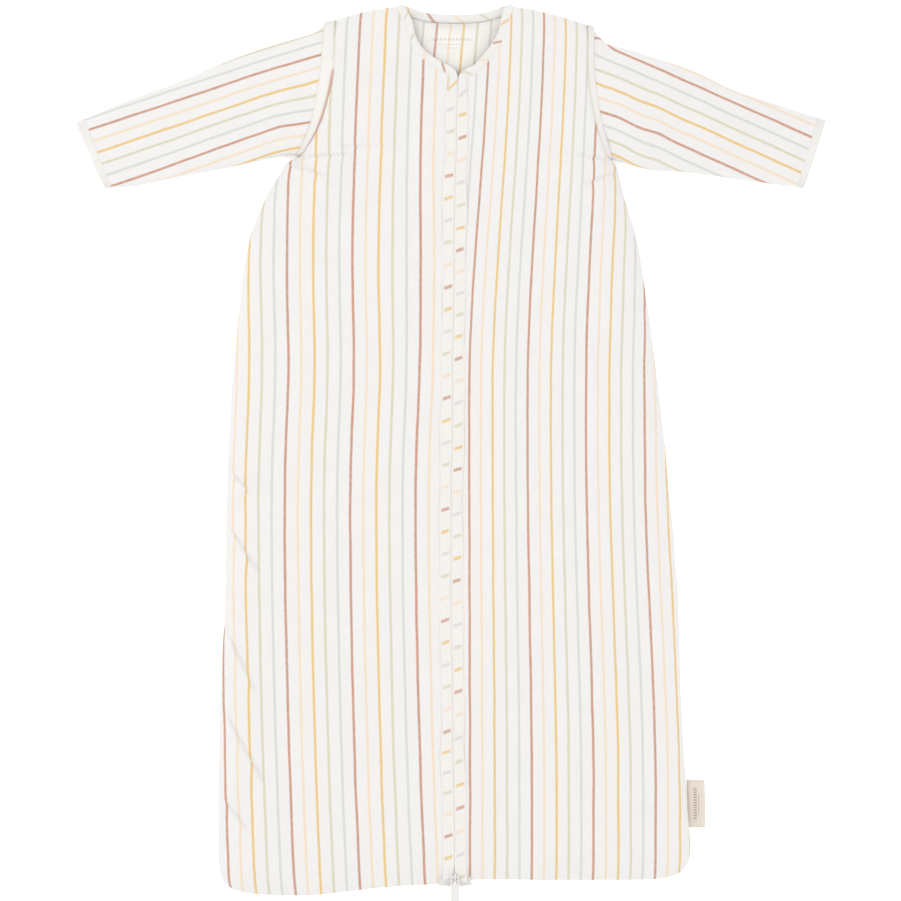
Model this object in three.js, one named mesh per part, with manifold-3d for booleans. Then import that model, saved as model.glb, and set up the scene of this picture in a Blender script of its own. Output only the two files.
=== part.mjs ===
// Baby sleeping bag with long sleeves, lying flat on its back, fully zipped.
// Millimetres. +X is to the right as seen from the front, +Y points to the head, +Z points out of the front.
// The origin is the middle of the bag's outline, on the surface that it lies on.
import * as THREE from 'three';
import { mergeVertices } from 'three/addons/utils/BufferGeometryUtils.js';
import Module from 'manifold-3d';

const wasm = await Module();
wasm.setup();

// ---- Driving dimensions: the plan ----
const NECK_POINT = [52, 452.5];
const SHOULDER_TIP = [132, 434];
const UNDERARM = [155, 300];
const SIDE_TOP = [162, 293];
const SIDE_POINTS = [SIDE_TOP, [180, 245], [201, 170], [216, 50], [224, -80], [231, -250], [237, -398]];
const HEM_Y = -430;
const HEM_CORNER = 32;
const FRONT_NECKLINE = [NECK_POINT, [45, 436], [41, 415], [32, 399], [18, 384], [1.6, 367.6]];
const BACK_NECKLINE = [[0, 438], [25, 439.5], [43, 444], NECK_POINT];
const CUFF_TOP = [376, 334];
const CUFF_BOTTOM = [351, 268];
const SLEEVE_TOP = [SHOULDER_TIP, [150, 419], [197, 406], [311, 362], CUFF_TOP];
const SLEEVE_BOTTOM = [UNDERARM, [205, 289], [260, 281], CUFF_BOTTOM];

// ---- Driving dimensions: the layers, from the surface up ----
const GAP = 0.3;
const CLOTH = 2;
const LINING = 1.6;
const BACK_WADDING = 5;
const FRONT_WADDING = 4;
const HOLLOW = 6;
const BACK_OUTER = [0, CLOTH];
const BACK_FILL = above(BACK_OUTER, BACK_WADDING);
const BACK_LINING = above(BACK_FILL, LINING);
const FRONT_LINING = [BACK_LINING[1] + HOLLOW, BACK_LINING[1] + HOLLOW + LINING];
const FRONT_FILL = above(FRONT_LINING, FRONT_WADDING);
const FRONT_OUTER = above(FRONT_FILL, CLOTH);
const WELT = above(FRONT_OUTER, CLOTH);
const SEAM = [BACK_LINING[1] + GAP, FRONT_LINING[0] - GAP];
const TOP = FRONT_OUTER[1];

// ---- Driving dimensions: bindings, seams and sleeves ----
const NECK_BINDING_WIDTH = 7;
const ARMHOLE_BINDING_WIDTH = 9;
const ARMHOLE_BINDING_WALL = 2;
const SHOULDER_DROP = 1.5;
const CUFF_WIDTH = 5;
const SEAM_INSET = 1;
const SEAM_WIDTH = 4;
const SLEEVE_HEIGHT = 19.4;
const SLEEVE_CLOTH = 1.6;
const SLEEVE_WADDING = 1.5;
const SLEEVE_LINING = 1.2;
const SLEEVE_START = 0.4;
const CUFF_WALL = 3.5;
const PANEL_CLEARANCE = 0.6;
const PAST = 40;

// ---- Driving dimensions: the zip ----
const SLIT = 1.2;
const WELT_EDGE = 13.5;
const WELT_ENDS = [-428, 361];
const FRONT_EDGE = 5.5;
const WADDING_EDGE = 16;
const TAPE = { x: [1.6, 15], y: [-431, 357], z: above(FRONT_LINING, 0.8) };
const COIL = { x: [0.8, 3.4], y: [-426, 343], z: above(TAPE.z, 2.2) };
const SLIDER = { y: -420.5, halfWidth: 4.5, halfLength: 6, plate: 1.2 };
const WEDGE = { halfWidth: 0.5, y: [-5.5, -2] };
const BRIDGE = { halfWidth: 0.8, halfLength: 3.4, hole: 2, top: 29.2, bar: 0.8 };
const PULL = { z: [26.1, 27.7], halfWidth: 4.2, eye: 3, eyeEnd: -7, tip: -452.5, round: 3 };
const PIN = { x: [-2.6, -1], y: [343.4, 355.5], z: [19.1, 20.9] };
const BOX = { x: [-3.6, 4.4], y: [346, 355], z: [18.2, 22] };
const END_STOP = { x: [1, 4.2], y: [-429, -427.6] };
const LABEL = { x: [237.2, 254], y: [-372, -325], z: [6.6, 7.6] };

// ---- Materials ----
const cream = cloth(0xf5f3ef);
const creamBinding = cloth(0xf1ece4);
const lining = cloth(0xf2efe8);
const wadding = cloth(0xfafafa);
const thread = cloth(0xe9e4da);
const tapeCloth = cloth(0xf0efec);
const labelCloth = cloth(0xe0d5ca);
const nylon = new THREE.MeshStandardMaterial({ color: 0xecebe8, roughness: 0.45, metalness: 0 });
const lacquer = new THREE.MeshStandardMaterial({ color: 0xf2f1ee, roughness: 0.3, metalness: 0.2 });

function cloth(color) {
  return new THREE.MeshStandardMaterial({ color, roughness: 0.95, metalness: 0 });
}

// ---- Small helpers ----
function above(layer, thickness) {
  return [layer[1] + GAP, layer[1] + GAP + thickness];
}

function vectors(points) {
  return points.map(([x, y]) => new THREE.Vector2(x, y));
}

// A smooth line through a few points.
function smooth(points, steps) {
  return new THREE.SplineCurve(vectors(points)).getPoints(steps);
}

// The same line moved sideways: a positive distance is to its right, seen from above.
function offset(path, distance) {
  return path.map((point, i) => {
    const before = path[Math.max(i - 1, 0)];
    const after = path[Math.min(i + 1, path.length - 1)];
    const along = after.clone().sub(before).normalize();
    return new THREE.Vector2(point.x + along.y * distance, point.y - along.x * distance);
  });
}

function mirrored(path) {
  return path.map((point) => new THREE.Vector2(-point.x, point.y)).reverse();
}

// A slab with this plan, between two heights. side is 1 for the plan as drawn and -1 for its mirror image.
function slab(plan, [low, high], side = 1, hole = null) {
  const outline = side < 0 ? mirrored(plan) : plan;
  const shape = new THREE.Shape(outline);
  if (hole) {
    shape.holes.push(new THREE.Path(hole));
  }
  const geometry = new THREE.ExtrudeGeometry(shape, { depth: high - low, bevelEnabled: false });
  geometry.translate(0, 0, low);
  return geometry;
}

function block([x0, x1], [y0, y1], z, side = 1) {
  return slab(vectors([[x0, y0], [x1, y0], [x1, y1], [x0, y1]]), z, side);
}

function solid(geometry) {
  const bare = geometry.clone();
  bare.deleteAttribute('normal');
  bare.deleteAttribute('uv');
  const merged = mergeVertices(bare, 1e-4);
  const vertProperties = new Float32Array(merged.attributes.position.array);
  const triVerts = new Uint32Array(merged.index.array);
  return new wasm.Manifold(new wasm.Mesh({ numProp: 3, vertProperties, triVerts }));
}

function surface(manifold) {
  const mesh = manifold.getMesh();
  const indexed = new THREE.BufferGeometry();
  indexed.setAttribute('position', new THREE.BufferAttribute(new Float32Array(mesh.vertProperties), 3));
  indexed.setIndex(Array.from(mesh.triVerts));
  const geometry = indexed.toNonIndexed();
  geometry.computeVertexNormals();
  return geometry;
}

function joined(...geometries) {
  return surface(geometries.map(solid).reduce((all, next) => all.add(next)));
}

// ---- Plan lines ----
const neck = vectors([NECK_POINT])[0];
const shoulderTip = vectors([SHOULDER_TIP])[0];
const underarm = vectors([UNDERARM])[0];
const armholeDown = underarm.clone().sub(shoulderTip).normalize();
const armholeOut = new THREE.Vector2(-armholeDown.y, armholeDown.x);
const shoulderIn = neck.clone().sub(shoulderTip);

// The point of the shoulder line that lies this far inboard of the armhole line.
function shoulderAt(distance) {
  const share = -distance / shoulderIn.dot(armholeOut);
  return shoulderTip.clone().addScaledVector(shoulderIn, share);
}

// The point of the shoulder line that lies this far from the neck point.
function shoulderFromNeck(distance) {
  return neck.clone().sub(shoulderIn.clone().setLength(distance));
}

function underarmAt(distance) {
  return underarm.clone().addScaledVector(armholeOut, -distance);
}

// The side from the underarm down to the hem corner.
const sidePath = smooth(SIDE_POINTS, 22);
const cornerX = SIDE_POINTS.at(-1)[0] - HEM_CORNER;

function cornerPath() {
  const steps = 6;
  return Array.from({ length: steps }, (_, i) => {
    const angle = ((i + 1) / steps) * (Math.PI / 2);
    const x = cornerX + HEM_CORNER * Math.cos(angle);
    return new THREE.Vector2(x, HEM_Y + HEM_CORNER - HEM_CORNER * Math.sin(angle));
  });
}

// Shoulder, armhole, side and hem of one half, from the neck binding down to the hem corner.
function halfEdge() {
  const clear = ARMHOLE_BINDING_WIDTH + PANEL_CLEARANCE;
  const neckEnd = shoulderFromNeck(NECK_BINDING_WIDTH + PANEL_CLEARANCE);
  const belowBinding = underarmAt(clear).addScaledVector(armholeDown, PANEL_CLEARANCE);
  const belowSleeve = underarm.clone().addScaledVector(armholeDown, 4 * PANEL_CLEARANCE);
  return [neckEnd, shoulderAt(clear), belowBinding, belowSleeve, ...sidePath, ...cornerPath()];
}

// ---- Back and front panels, each of outer cloth, wadding and lining ----
function backPlan() {
  const half = halfEdge();
  const neckline = offset(smooth(BACK_NECKLINE, 10), NECK_BINDING_WIDTH + GAP);
  const across = [...mirrored(neckline), ...neckline.slice(1)];
  return [...across, ...half, ...mirrored(half)];
}

function frontPlan(innerEdge) {
  const neckline = offset(smooth(FRONT_NECKLINE, 14), -NECK_BINDING_WIDTH - GAP).reverse();
  const reaching = neckline.filter((point) => point.x > innerEdge + 0.5);
  const top = new THREE.Vector2(innerEdge, reaching[0].y - (reaching[0].x - innerEdge));
  return [top, ...reaching, ...halfEdge(), new THREE.Vector2(innerEdge, HEM_Y)];
}

// ---- Seams that close the bag between its back and its front ----
function ribbon(path, near, far) {
  return [...offset(path, near), ...offset(path, far).reverse()];
}

function sideSeam() {
  return ribbon(sidePath, SEAM_INSET, SEAM_INSET + SEAM_WIDTH);
}

function footSeam() {
  const corner = cornerPath();
  const path = [...corner, ...mirrored(corner)];
  return ribbon(path, SEAM_INSET, SEAM_INSET + SEAM_WIDTH);
}

function shoulderSeam() {
  const start = shoulderFromNeck(NECK_BINDING_WIDTH + SEAM_INSET);
  const end = shoulderAt(ARMHOLE_BINDING_WIDTH + SEAM_INSET);
  return ribbon([start, end], SEAM_INSET, SEAM_INSET + SEAM_WIDTH);
}

// ---- Bindings ----
// The neck binding runs down both front edges and round the back neckline, and turns at the neck points.
function neckBinding() {
  const frontLine = smooth(FRONT_NECKLINE, 14);
  const backLine = smooth(BACK_NECKLINE, 10);
  const frontStrip = ribbon(frontLine, 0, -NECK_BINDING_WIDTH);
  const backHalf = ribbon(backLine, 0, NECK_BINDING_WIDTH);
  const backFull = [...mirrored(backLine), ...backLine.slice(1)];
  const backStrip = ribbon(backFull, 0, NECK_BINDING_WIDTH);
  const strip = [FRONT_LINING[0], TOP];
  const pieces = [solid(slab(backStrip, [0, BACK_LINING[1]]))];
  for (const side of [1, -1]) {
    const turn = solid(slab(frontStrip, [0, TOP], side)).intersect(solid(slab(backHalf, [0, TOP], side)));
    pieces.push(solid(slab(frontStrip, strip, side)), turn);
  }
  return surface(pieces.reduce((all, next) => all.add(next)));
}

// The armhole binding is a flat ring that the arm passes through.
function armholeBinding(side) {
  const wide = ARMHOLE_BINDING_WIDTH;
  const wall = ARMHOLE_BINDING_WALL;
  const plan = [shoulderTip, shoulderAt(wide), underarmAt(wide), underarm];
  const upper = (distance) => shoulderAt(distance).addScaledVector(armholeDown, wall + SHOULDER_DROP);
  const lower = (distance) => underarmAt(distance).addScaledVector(armholeDown, -wall);
  const ends = [-wall, wide + wall];
  const hole = [...ends.map(upper), ...ends.toReversed().map(lower)];
  return surface(solid(slab(plan, [0, TOP], side)).subtract(solid(slab(hole, [wall, TOP - wall], side))));
}

// ---- Sleeves: flat tubes between the armhole line and the cuff line ----
const sleeveTop = smooth(SLEEVE_TOP, 12);
const sleeveBottom = vectors(SLEEVE_BOTTOM);
const cuffTop = vectors([CUFF_TOP])[0];
const cuffBottom = vectors([CUFF_BOTTOM])[0];
const cuffUp = cuffTop.clone().sub(cuffBottom).normalize();
const cuffOut = new THREE.Vector2(cuffUp.y, -cuffUp.x);

function overrun(path) {
  const reach = 12;
  const first = path[0].clone().sub(path[1]).setLength(reach).add(path[0]);
  const last = path.at(-1).clone().sub(path.at(-2)).setLength(reach).add(path.at(-1));
  return [first, ...path, last];
}

function sleevePlan(inset) {
  const top = overrun(offset(sleeveTop, inset));
  const bottom = overrun(offset(sleeveBottom, -inset));
  return [...top, ...bottom.reverse()];
}

// A line across the sleeve, this far outboard of the line from top to bottom, and longer at both ends.
function crossing(top, bottom, outward, distance) {
  const longer = top.clone().sub(bottom).setLength(PAST);
  const shift = outward.clone().multiplyScalar(distance);
  return [top.clone().add(shift).add(longer), bottom.clone().add(shift).sub(longer)];
}

function armholeLine(distance) {
  return crossing(shoulderTip, underarm, armholeOut, distance);
}

function cuffLine(distance) {
  return crossing(cuffTop, cuffBottom, cuffOut, distance);
}

function sleeveTube(side, inset, wall, span) {
  const outer = slab(sleevePlan(inset), [inset, SLEEVE_HEIGHT - inset], side);
  const deep = inset + wall;
  const inner = slab(sleevePlan(deep), [deep, SLEEVE_HEIGHT - deep], side);
  const cut = slab(span, [-1, SLEEVE_HEIGHT + 1], side);
  return surface(solid(outer).subtract(solid(inner)).intersect(solid(cut)));
}

// ---- Zip slider and pull tab ----
function sliderBody() {
  const { y, halfWidth, halfLength, plate } = SLIDER;
  const lower = [TAPE.z[0] - GAP - plate, TAPE.z[0] - GAP];
  const upper = [COIL.z[1] + GAP, COIL.z[1] + GAP + plate];
  const length = [y - halfLength, y + halfLength];
  const join = 0.05;
  const wedgeSpan = WEDGE.y.map((end) => y + end);
  const wedge = block([-WEDGE.halfWidth, WEDGE.halfWidth], wedgeSpan, [lower[1] - join, upper[0] + join]);
  const flange = [COIL.x[1] + GAP, halfWidth];
  const flanges = [1, -1].map((side) => block(flange, length, [COIL.z[0], upper[0] + join], side));
  const plates = [lower, upper].map((layer) => block([-halfWidth, halfWidth], length, layer));
  return joined(...plates, wedge, ...flanges, bridge(y, upper[1] - join));
}

// The bridge stands on the upper plate and holds the pull tab's bar.
function bridge(y, base) {
  const { halfWidth, halfLength, hole, top, bar } = BRIDGE;
  const across = [-halfWidth, halfWidth];
  const parts = [
    block(across, [y - halfLength, y - hole], [base, top]),
    block(across, [y + hole, y + halfLength], [base, top]),
    block(across, [y - halfLength, y + halfLength], [top - bar, top]),
  ];
  return joined(...parts);
}

function pullTab() {
  const { z, halfWidth, eye, eyeEnd, tip, round } = PULL;
  const top = SLIDER.y + BRIDGE.bar;
  const shape = new THREE.Shape();
  shape.moveTo(-halfWidth, top);
  shape.lineTo(-halfWidth, tip + round);
  shape.absarc(-halfWidth + round, tip + round, round, Math.PI, 1.5 * Math.PI);
  shape.absarc(halfWidth - round, tip + round, round, 1.5 * Math.PI, 2 * Math.PI);
  shape.lineTo(halfWidth, top);
  const low = SLIDER.y + eyeEnd;
  const high = SLIDER.y - BRIDGE.bar;
  const opening = new THREE.Path(vectors([[-eye, low], [eye, low], [eye, high], [-eye, high]]));
  shape.holes.push(opening);
  const depth = z[1] - z[0];
  const geometry = new THREE.ExtrudeGeometry(shape, { depth, bevelEnabled: false, curveSegments: 5 });
  geometry.translate(0, 0, z[0]);
  return geometry;
}

// The box at the neck end of the zip holds the pin of the other half.
function retainerBox() {
  const shell = block(BOX.x, BOX.y, BOX.z);
  const roomy = ([low, high]) => [low - GAP, high + GAP];
  const channel = block(roomy(PIN.x), roomy(BOX.y), roomy(PIN.z));
  return surface(solid(shell).subtract(solid(channel)));
}

// ---- Assembly ----
const sleepingBag = new THREE.Group();

function add(name, geometry, material) {
  const mesh = new THREE.Mesh(geometry, material);
  mesh.name = name;
  sleepingBag.add(mesh);
}

add('back_outer', slab(backPlan(), BACK_OUTER), cream);
add('back_wadding', slab(backPlan(), BACK_FILL), wadding);
add('back_lining', slab(backPlan(), BACK_LINING), lining);
add('foot_seam', slab(footSeam(), SEAM), thread);
add('neck_binding', neckBinding(), creamBinding);

const bodySpan = [...armholeLine(SLEEVE_START), ...cuffLine(-CUFF_WIDTH - GAP).reverse()];
const cuffSpan = [...cuffLine(-CUFF_WIDTH), ...cuffLine(0).reverse()];
const waddingInset = SLEEVE_CLOTH + GAP;
const liningInset = waddingInset + SLEEVE_WADDING + GAP;

for (const [name, side] of [['left', -1], ['right', 1]]) {
  add(`front_outer_${name}`, slab(frontPlan(FRONT_EDGE), FRONT_OUTER, side), cream);
  add(`front_wadding_${name}`, slab(frontPlan(WADDING_EDGE), FRONT_FILL, side), wadding);
  add(`front_lining_${name}`, slab(frontPlan(FRONT_EDGE + 0.5), FRONT_LINING, side), lining);
  add(`side_seam_${name}`, slab(sideSeam(), SEAM, side), thread);
  add(`shoulder_seam_${name}`, slab(shoulderSeam(), SEAM, side), thread);
  add(`armhole_binding_${name}`, armholeBinding(side), creamBinding);
  add(`welt_${name}`, block([SLIT, WELT_EDGE], WELT_ENDS, WELT, side), cream);
  add(`zip_tape_${name}`, block(TAPE.x, TAPE.y, TAPE.z, side), tapeCloth);
  add(`zip_coil_${name}`, block(COIL.x, COIL.y, COIL.z, side), nylon);
  add(`zip_end_stop_${name}`, block(END_STOP.x, END_STOP.y, COIL.z, side), nylon);
  add(`sleeve_outer_${name}`, sleeveTube(side, 0, SLEEVE_CLOTH, bodySpan), cream);
  add(`sleeve_wadding_${name}`, sleeveTube(side, waddingInset, SLEEVE_WADDING, bodySpan), wadding);
  add(`sleeve_lining_${name}`, sleeveTube(side, liningInset, SLEEVE_LINING, bodySpan), lining);
  add(`cuff_binding_${name}`, sleeveTube(side, 0, CUFF_WALL, cuffSpan), creamBinding);
}

add('zip_pin', block(PIN.x, PIN.y, PIN.z), nylon);
add('zip_retainer_box', retainerBox(), nylon);
add('zip_slider', sliderBody(), lacquer);
add('pull_tab', pullTab(), lacquer);
add('side_label', block(LABEL.x, LABEL.y, LABEL.z), labelCloth);

export default sleepingBag;
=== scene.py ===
"""A baby sleeping bag with long sleeves, lying flat on its back. Metres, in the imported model's frame."""
import math

import bpy
import numpy as np
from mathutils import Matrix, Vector, geometry


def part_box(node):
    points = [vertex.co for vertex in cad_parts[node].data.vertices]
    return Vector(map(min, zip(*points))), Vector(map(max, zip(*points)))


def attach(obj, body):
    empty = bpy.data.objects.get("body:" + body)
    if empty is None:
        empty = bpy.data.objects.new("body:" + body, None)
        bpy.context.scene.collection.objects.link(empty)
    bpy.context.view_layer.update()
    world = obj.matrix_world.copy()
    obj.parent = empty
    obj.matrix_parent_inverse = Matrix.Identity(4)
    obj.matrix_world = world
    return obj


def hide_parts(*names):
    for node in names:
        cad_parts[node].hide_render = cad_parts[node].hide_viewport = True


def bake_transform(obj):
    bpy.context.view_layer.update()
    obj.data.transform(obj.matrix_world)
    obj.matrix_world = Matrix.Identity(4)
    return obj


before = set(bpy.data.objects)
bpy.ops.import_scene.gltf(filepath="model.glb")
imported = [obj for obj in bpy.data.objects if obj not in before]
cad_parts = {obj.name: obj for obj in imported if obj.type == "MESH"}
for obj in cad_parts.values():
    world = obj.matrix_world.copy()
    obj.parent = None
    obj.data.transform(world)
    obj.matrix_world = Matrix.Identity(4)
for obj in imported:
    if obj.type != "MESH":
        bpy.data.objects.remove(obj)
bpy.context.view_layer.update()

MM = 0.001
SIDES = {"left": -1, "right": 1}

# ---- The layers' heights ----
FLOOR_CLEAR = 0.5 * MM
BACK_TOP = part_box("back_wadding")[1].z
FRONT_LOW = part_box("front_wadding_left")[0].z
FRONT_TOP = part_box("front_outer_left")[1].z
SEAM_Z, RIM = 9.1 * MM, 1.1 * MM
ZIP_BED = FRONT_TOP - 1.0 * MM

# ---- How far in from its edges the padding rounds off ----
EDGE_ROLL, BACK_ROLL, INNER_ROLL = 30 * MM, 22 * MM, 26 * MM
BOUND_ROLL, BOUND_DIP = 14 * MM, 2.2 * MM
TUCK_DROP = 1.3 * MM
SEAM_INSET = 5.5 * MM

# ---- The plan as it lies: neck, shoulder, armhole, side and hem ----
# Each half's lines are drawn as if it were the right half. on_side puts them in their place.
NECK_FRONT = {"left": [(0.0020, 0.3575), (0.0020, 0.3775), (0.0065, 0.3842), (0.0162, 0.3893),
                       (0.0277, 0.3965), (0.0380, 0.4065), (0.0443, 0.4190), (0.0477, 0.4335)],
              "right": [(0.0080, 0.3575), (0.0081, 0.3760), (0.0134, 0.3820), (0.0222, 0.3862),
                        (0.0318, 0.3967), (0.0410, 0.4090), (0.0475, 0.4205), (0.0505, 0.4335)]}
NECK_BACK = [(0, 0.4380), (0.025, 0.4395), (0.044, 0.4442)]
NECK_POINT = (0.0575, 0.4505)
SHOULDER = {"left": [NECK_POINT, (0.09, 0.4445), (0.1215, 0.4362)],
            "right": [NECK_POINT, (0.095, 0.4425), (0.134, 0.4315)]}
ARMHOLE_IN = {"left": [(0.1195, 0.4360), (0.1205, 0.389), (0.127, 0.355), (0.137, 0.326), (0.150, 0.303)],
              "right": [(0.133, 0.4315), (0.1325, 0.390), (0.135, 0.360), (0.141, 0.330), (0.151, 0.300)]}
ARMHOLE_OUT = {"left": [(0.131, 0.4350), (0.1345, 0.39), (0.1395, 0.355), (0.147, 0.325), (0.159, 0.2995)],
               "right": [(0.1395, 0.4300), (0.1395, 0.39), (0.1425, 0.36), (0.148, 0.33), (0.158, 0.2965)]}
SIDE = {"left": [(0.157, 0.2995), (0.1685, 0.2925), (0.1765, 0.2795), (0.191, 0.255), (0.206, 0.215),
                 (0.2155, 0.155), (0.2245, 0.055), (0.229, -0.045), (0.2305, -0.145), (0.235, -0.245),
                 (0.237, -0.345), (0.2372, -0.406)],
        "right": [(0.157, 0.297), (0.1625, 0.286), (0.1705, 0.255), (0.182, 0.215), (0.192, 0.155),
                  (0.205, 0.055), (0.2155, -0.045), (0.2235, -0.145), (0.2265, -0.245), (0.2325, -0.345),
                  (0.2362, -0.392)]}
HEM = {"left": [(0.2372, -0.406), (0.235, -0.421), (0.228, -0.432), (0.211, -0.439), (0.179, -0.4412),
                (0.139, -0.441), (0.095, -0.436), (0.052, -0.432), (0.026, -0.4308), (0.006, -0.4285)],
       "right": [(0.2362, -0.392), (0.235, -0.404), (0.2305, -0.4135), (0.222, -0.4205), (0.205, -0.4248),
                 (0.182, -0.4258), (0.096, -0.4262), (0.031, -0.4255), (0.006, -0.428)]}
ARMHOLE_LAP = 2.5 * MM
ZIP_EDGE, SLIDER_ROOM = 5.5 * MM, 3.5 * MM
# Heights up the bag, and how far off its middle the slit between the welts is there.
SLIT_SHIFT = ([-0.43, -0.25, -0.11, 0.10, 0.28, 0.36], [0, -0.0025, -0.0042, -0.002, 0.0002, 0.0024])
PANEL_STEP, BACK_STEP, STRIP_STEP = 3.6 * MM, 5 * MM, 2.5 * MM
JOIN_GAP = 1.5 * MM
ZIP_FOOT = -0.427

# ---- Sleeves: top edge and underside, from armhole to cuff ----
SLEEVE_TOP = {"left": [(0.129, 0.4325), (0.145, 0.4225), (0.182, 0.412), (0.221, 0.3985), (0.277, 0.375),
                       (0.334, 0.354), (0.3805, 0.3340)],
              "right": [(0.1375, 0.4285), (0.150, 0.4145), (0.160, 0.4105), (0.171, 0.408), (0.200, 0.399),
                        (0.241, 0.385), (0.278, 0.367), (0.316, 0.3545), (0.372, 0.336)]}
SLEEVE_BOTTOM = {"left": [(0.155, 0.3005), (0.173, 0.3005), (0.229, 0.2885), (0.275, 0.280), (0.321, 0.2705),
                          (0.352, 0.2685)],
                 "right": [(0.156, 0.2975), (0.170, 0.2935), (0.196, 0.2865), (0.240, 0.283), (0.290, 0.276),
                           (0.350, 0.2685)]}
SLEEVE_HALF, SLEEVE_WALL, SLEEVE_GAP = 9.9 * MM, 3.6 * MM, 0.2 * MM
CUFF_SHARE, CUFF_GIRTH, CUFF_PROUD, CUFF_WALL = 0.036, 0.22, 0.45 * MM, 4.4 * MM

# ---- The printed stripes: brick, peach, ochre, sage, grey ----
BRICK, PEACH, OCHRE = (198, 150, 128), (235, 215, 193), (227, 193, 128)
SAGE, GREY = (212, 207, 182), (210, 210, 206)
CLOTH_ORDER = (BRICK, PEACH, OCHRE, SAGE, GREY)
WELT_ORDER = {"left": (BRICK, OCHRE, GREY, SAGE, PEACH), "right": (BRICK, PEACH, GREY, SAGE, OCHRE)}
FRONT_FIRST = {"left": -39.8 * MM, "right": 14.2 * MM}
FRONT_PITCH = {"left": 13.04 * MM, "right": 11.65 * MM}
MEAN_PITCH, BACK_PITCH, BACK_LINING_PITCH = 12.4 * MM, 12.5 * MM, 13.6 * MM
SLEEVE_PITCH, RIGHT_SLEEVE_PITCH = 11.9 * MM, 13.3 * MM
LINE_HALF = 1.22 * MM
DASH_HALF, DASH_PITCH = 1.7 * MM, 22.2 * MM
END_WAY = 0.43  # from the middle of the bag to either end


# ---- Numbers and lines ----
def smoothstep(low, high, x):
    """0 up to low and 1 from high on, with a smooth rise between. With high below low it falls instead."""
    t = np.clip((np.asarray(x, float) - low) / (high - low), 0, 1)
    return t * t * (3 - 2 * t)


def dome(t, power=2.2):
    """A quarter of a rounded square: 0 at t 0, rising steeply to 1 at t 1."""
    t = np.clip(t, 0, 1)
    return (1 - (1 - t) ** power) ** (1 / power)


def bell(x, middle, width):
    """A smooth hump: 1 at the middle, and nearly 0 from twice the width on."""
    return np.exp(-(((x - middle) / width) ** 2))


def way_along(line):
    """How far along a line each of its points is."""
    return np.concatenate([[0], np.cumsum(np.linalg.norm(np.diff(line, axis=0), axis=1))])


def resample(line, spacing=None, count=None):
    """The same line with evenly spaced points."""
    line = np.asarray(line, float)
    along = way_along(line)
    count = count or max(2, round(along[-1] / spacing) + 1)
    at = np.linspace(0, along[-1], count)
    return np.column_stack([np.interp(at, along, line[:, k]) for k in range(line.shape[1])])


def spline(points, spacing=None, count=None):
    """A smooth line through a few points, with evenly spaced points."""
    p = np.array(points, float)
    p = np.vstack([2 * p[0] - p[1], p, 2 * p[-1] - p[-2]])
    t = np.linspace(0, 1, 20, endpoint=False)[:, None]
    parts = []
    for a, b, c, d in zip(p, p[1:], p[2:], p[3:]):
        square, cube = 2 * a - 5 * b + 4 * c - d, 3 * b - a - 3 * c + d
        parts.append(0.5 * (2 * b + (c - a) * t + square * t**2 + cube * t**3))
    return resample(np.vstack([*parts, p[-2:-1]]), spacing, count)


def at_share(line, share):
    """The points at these shares of an evenly spaced line's length."""
    place = share * (len(line) - 1)
    return np.stack([np.interp(place, np.arange(len(line)), line[:, k]) for k in (0, 1)], axis=-1)


def closed(loop):
    """A loop with its first point again at its end."""
    return np.vstack([loop, loop[:1]])


def on_side(points, side):
    """Points drawn for the right half, on either half."""
    return np.asarray(points, float) * [SIDES[side], 1]


def nearest(points, lines):
    """How far each point is from the nearest of these lines, and which way that line faces outward."""
    best, outward = np.full(len(points), 1e9), np.zeros((len(points), 2))
    for line in lines:
        for a, b in zip(line, line[1:]):
            ab = b - a
            t = np.clip((points - a) @ ab / max(ab @ ab, 1e-12), 0, 1)
            away = np.hypot(*(points - a - t[:, None] * ab).T)
            normal = np.array([ab[1], -ab[0]]) / max(np.hypot(*ab), 1e-9)
            if normal @ a < 0:
                normal = -normal
            closer = away < best
            best[closer] = away[closer]
            outward[closer] = normal
    return best, outward


def distance(points, lines):
    """How far each point is from the nearest of these lines."""
    return nearest(points, lines)[0]


def unrolled(points, lines, reach, drop):
    """Where each point near a rounded edge would lie if the cloth were pressed flat."""
    away, outward = nearest(points, lines)
    d = np.linspace(0, reach, 200)
    step = np.hypot(np.diff(d), np.diff(drop * dome(d / reach)))
    extra = np.concatenate([[0], np.cumsum(step[::-1])])[::-1] - (reach - d)
    return points + outward * np.interp(away, d, extra)[:, None]


def inside(points, loop):
    """Which points are inside a closed loop."""
    x, y = points.T
    odd = np.zeros(len(points), bool)
    for (x0, y0), (x1, y1) in zip(loop, np.roll(loop, -1, axis=0)):
        if y0 != y1:
            odd ^= ((y0 > y) != (y1 > y)) & (x < (x1 - x0) * (y - y0) / (y1 - y0) + x0)
    return odd


def waves(p, length, stretch, seed):
    """A smooth undulation of about -1 to 1, this long across x and stretch times as long across y."""
    count = 7
    rng = np.random.default_rng(seed)
    angle, phase = rng.uniform(0, 2 * np.pi, (2, count))
    k = 2 * np.pi / (length * rng.uniform(0.7, 1.5, count))
    total = np.zeros(len(p))
    for i in range(count):
        across = p[:, 0] * np.cos(angle[i]) + p[:, 1] * np.sin(angle[i]) / stretch
        total += np.sin(k[i] * across + phase[i])
    return total / 4


def crease(p, start, end, height, width):
    """A soft ridge, or with a negative height a soft valley, from start to end."""
    a, b = np.array(start), np.array(end)
    ab = b - a
    t = (p - a) @ ab / (ab @ ab)
    away = np.hypot(*(p - a - np.clip(t, 0, 1)[:, None] * ab).T)
    return height * bell(away, 0, width)


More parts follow.
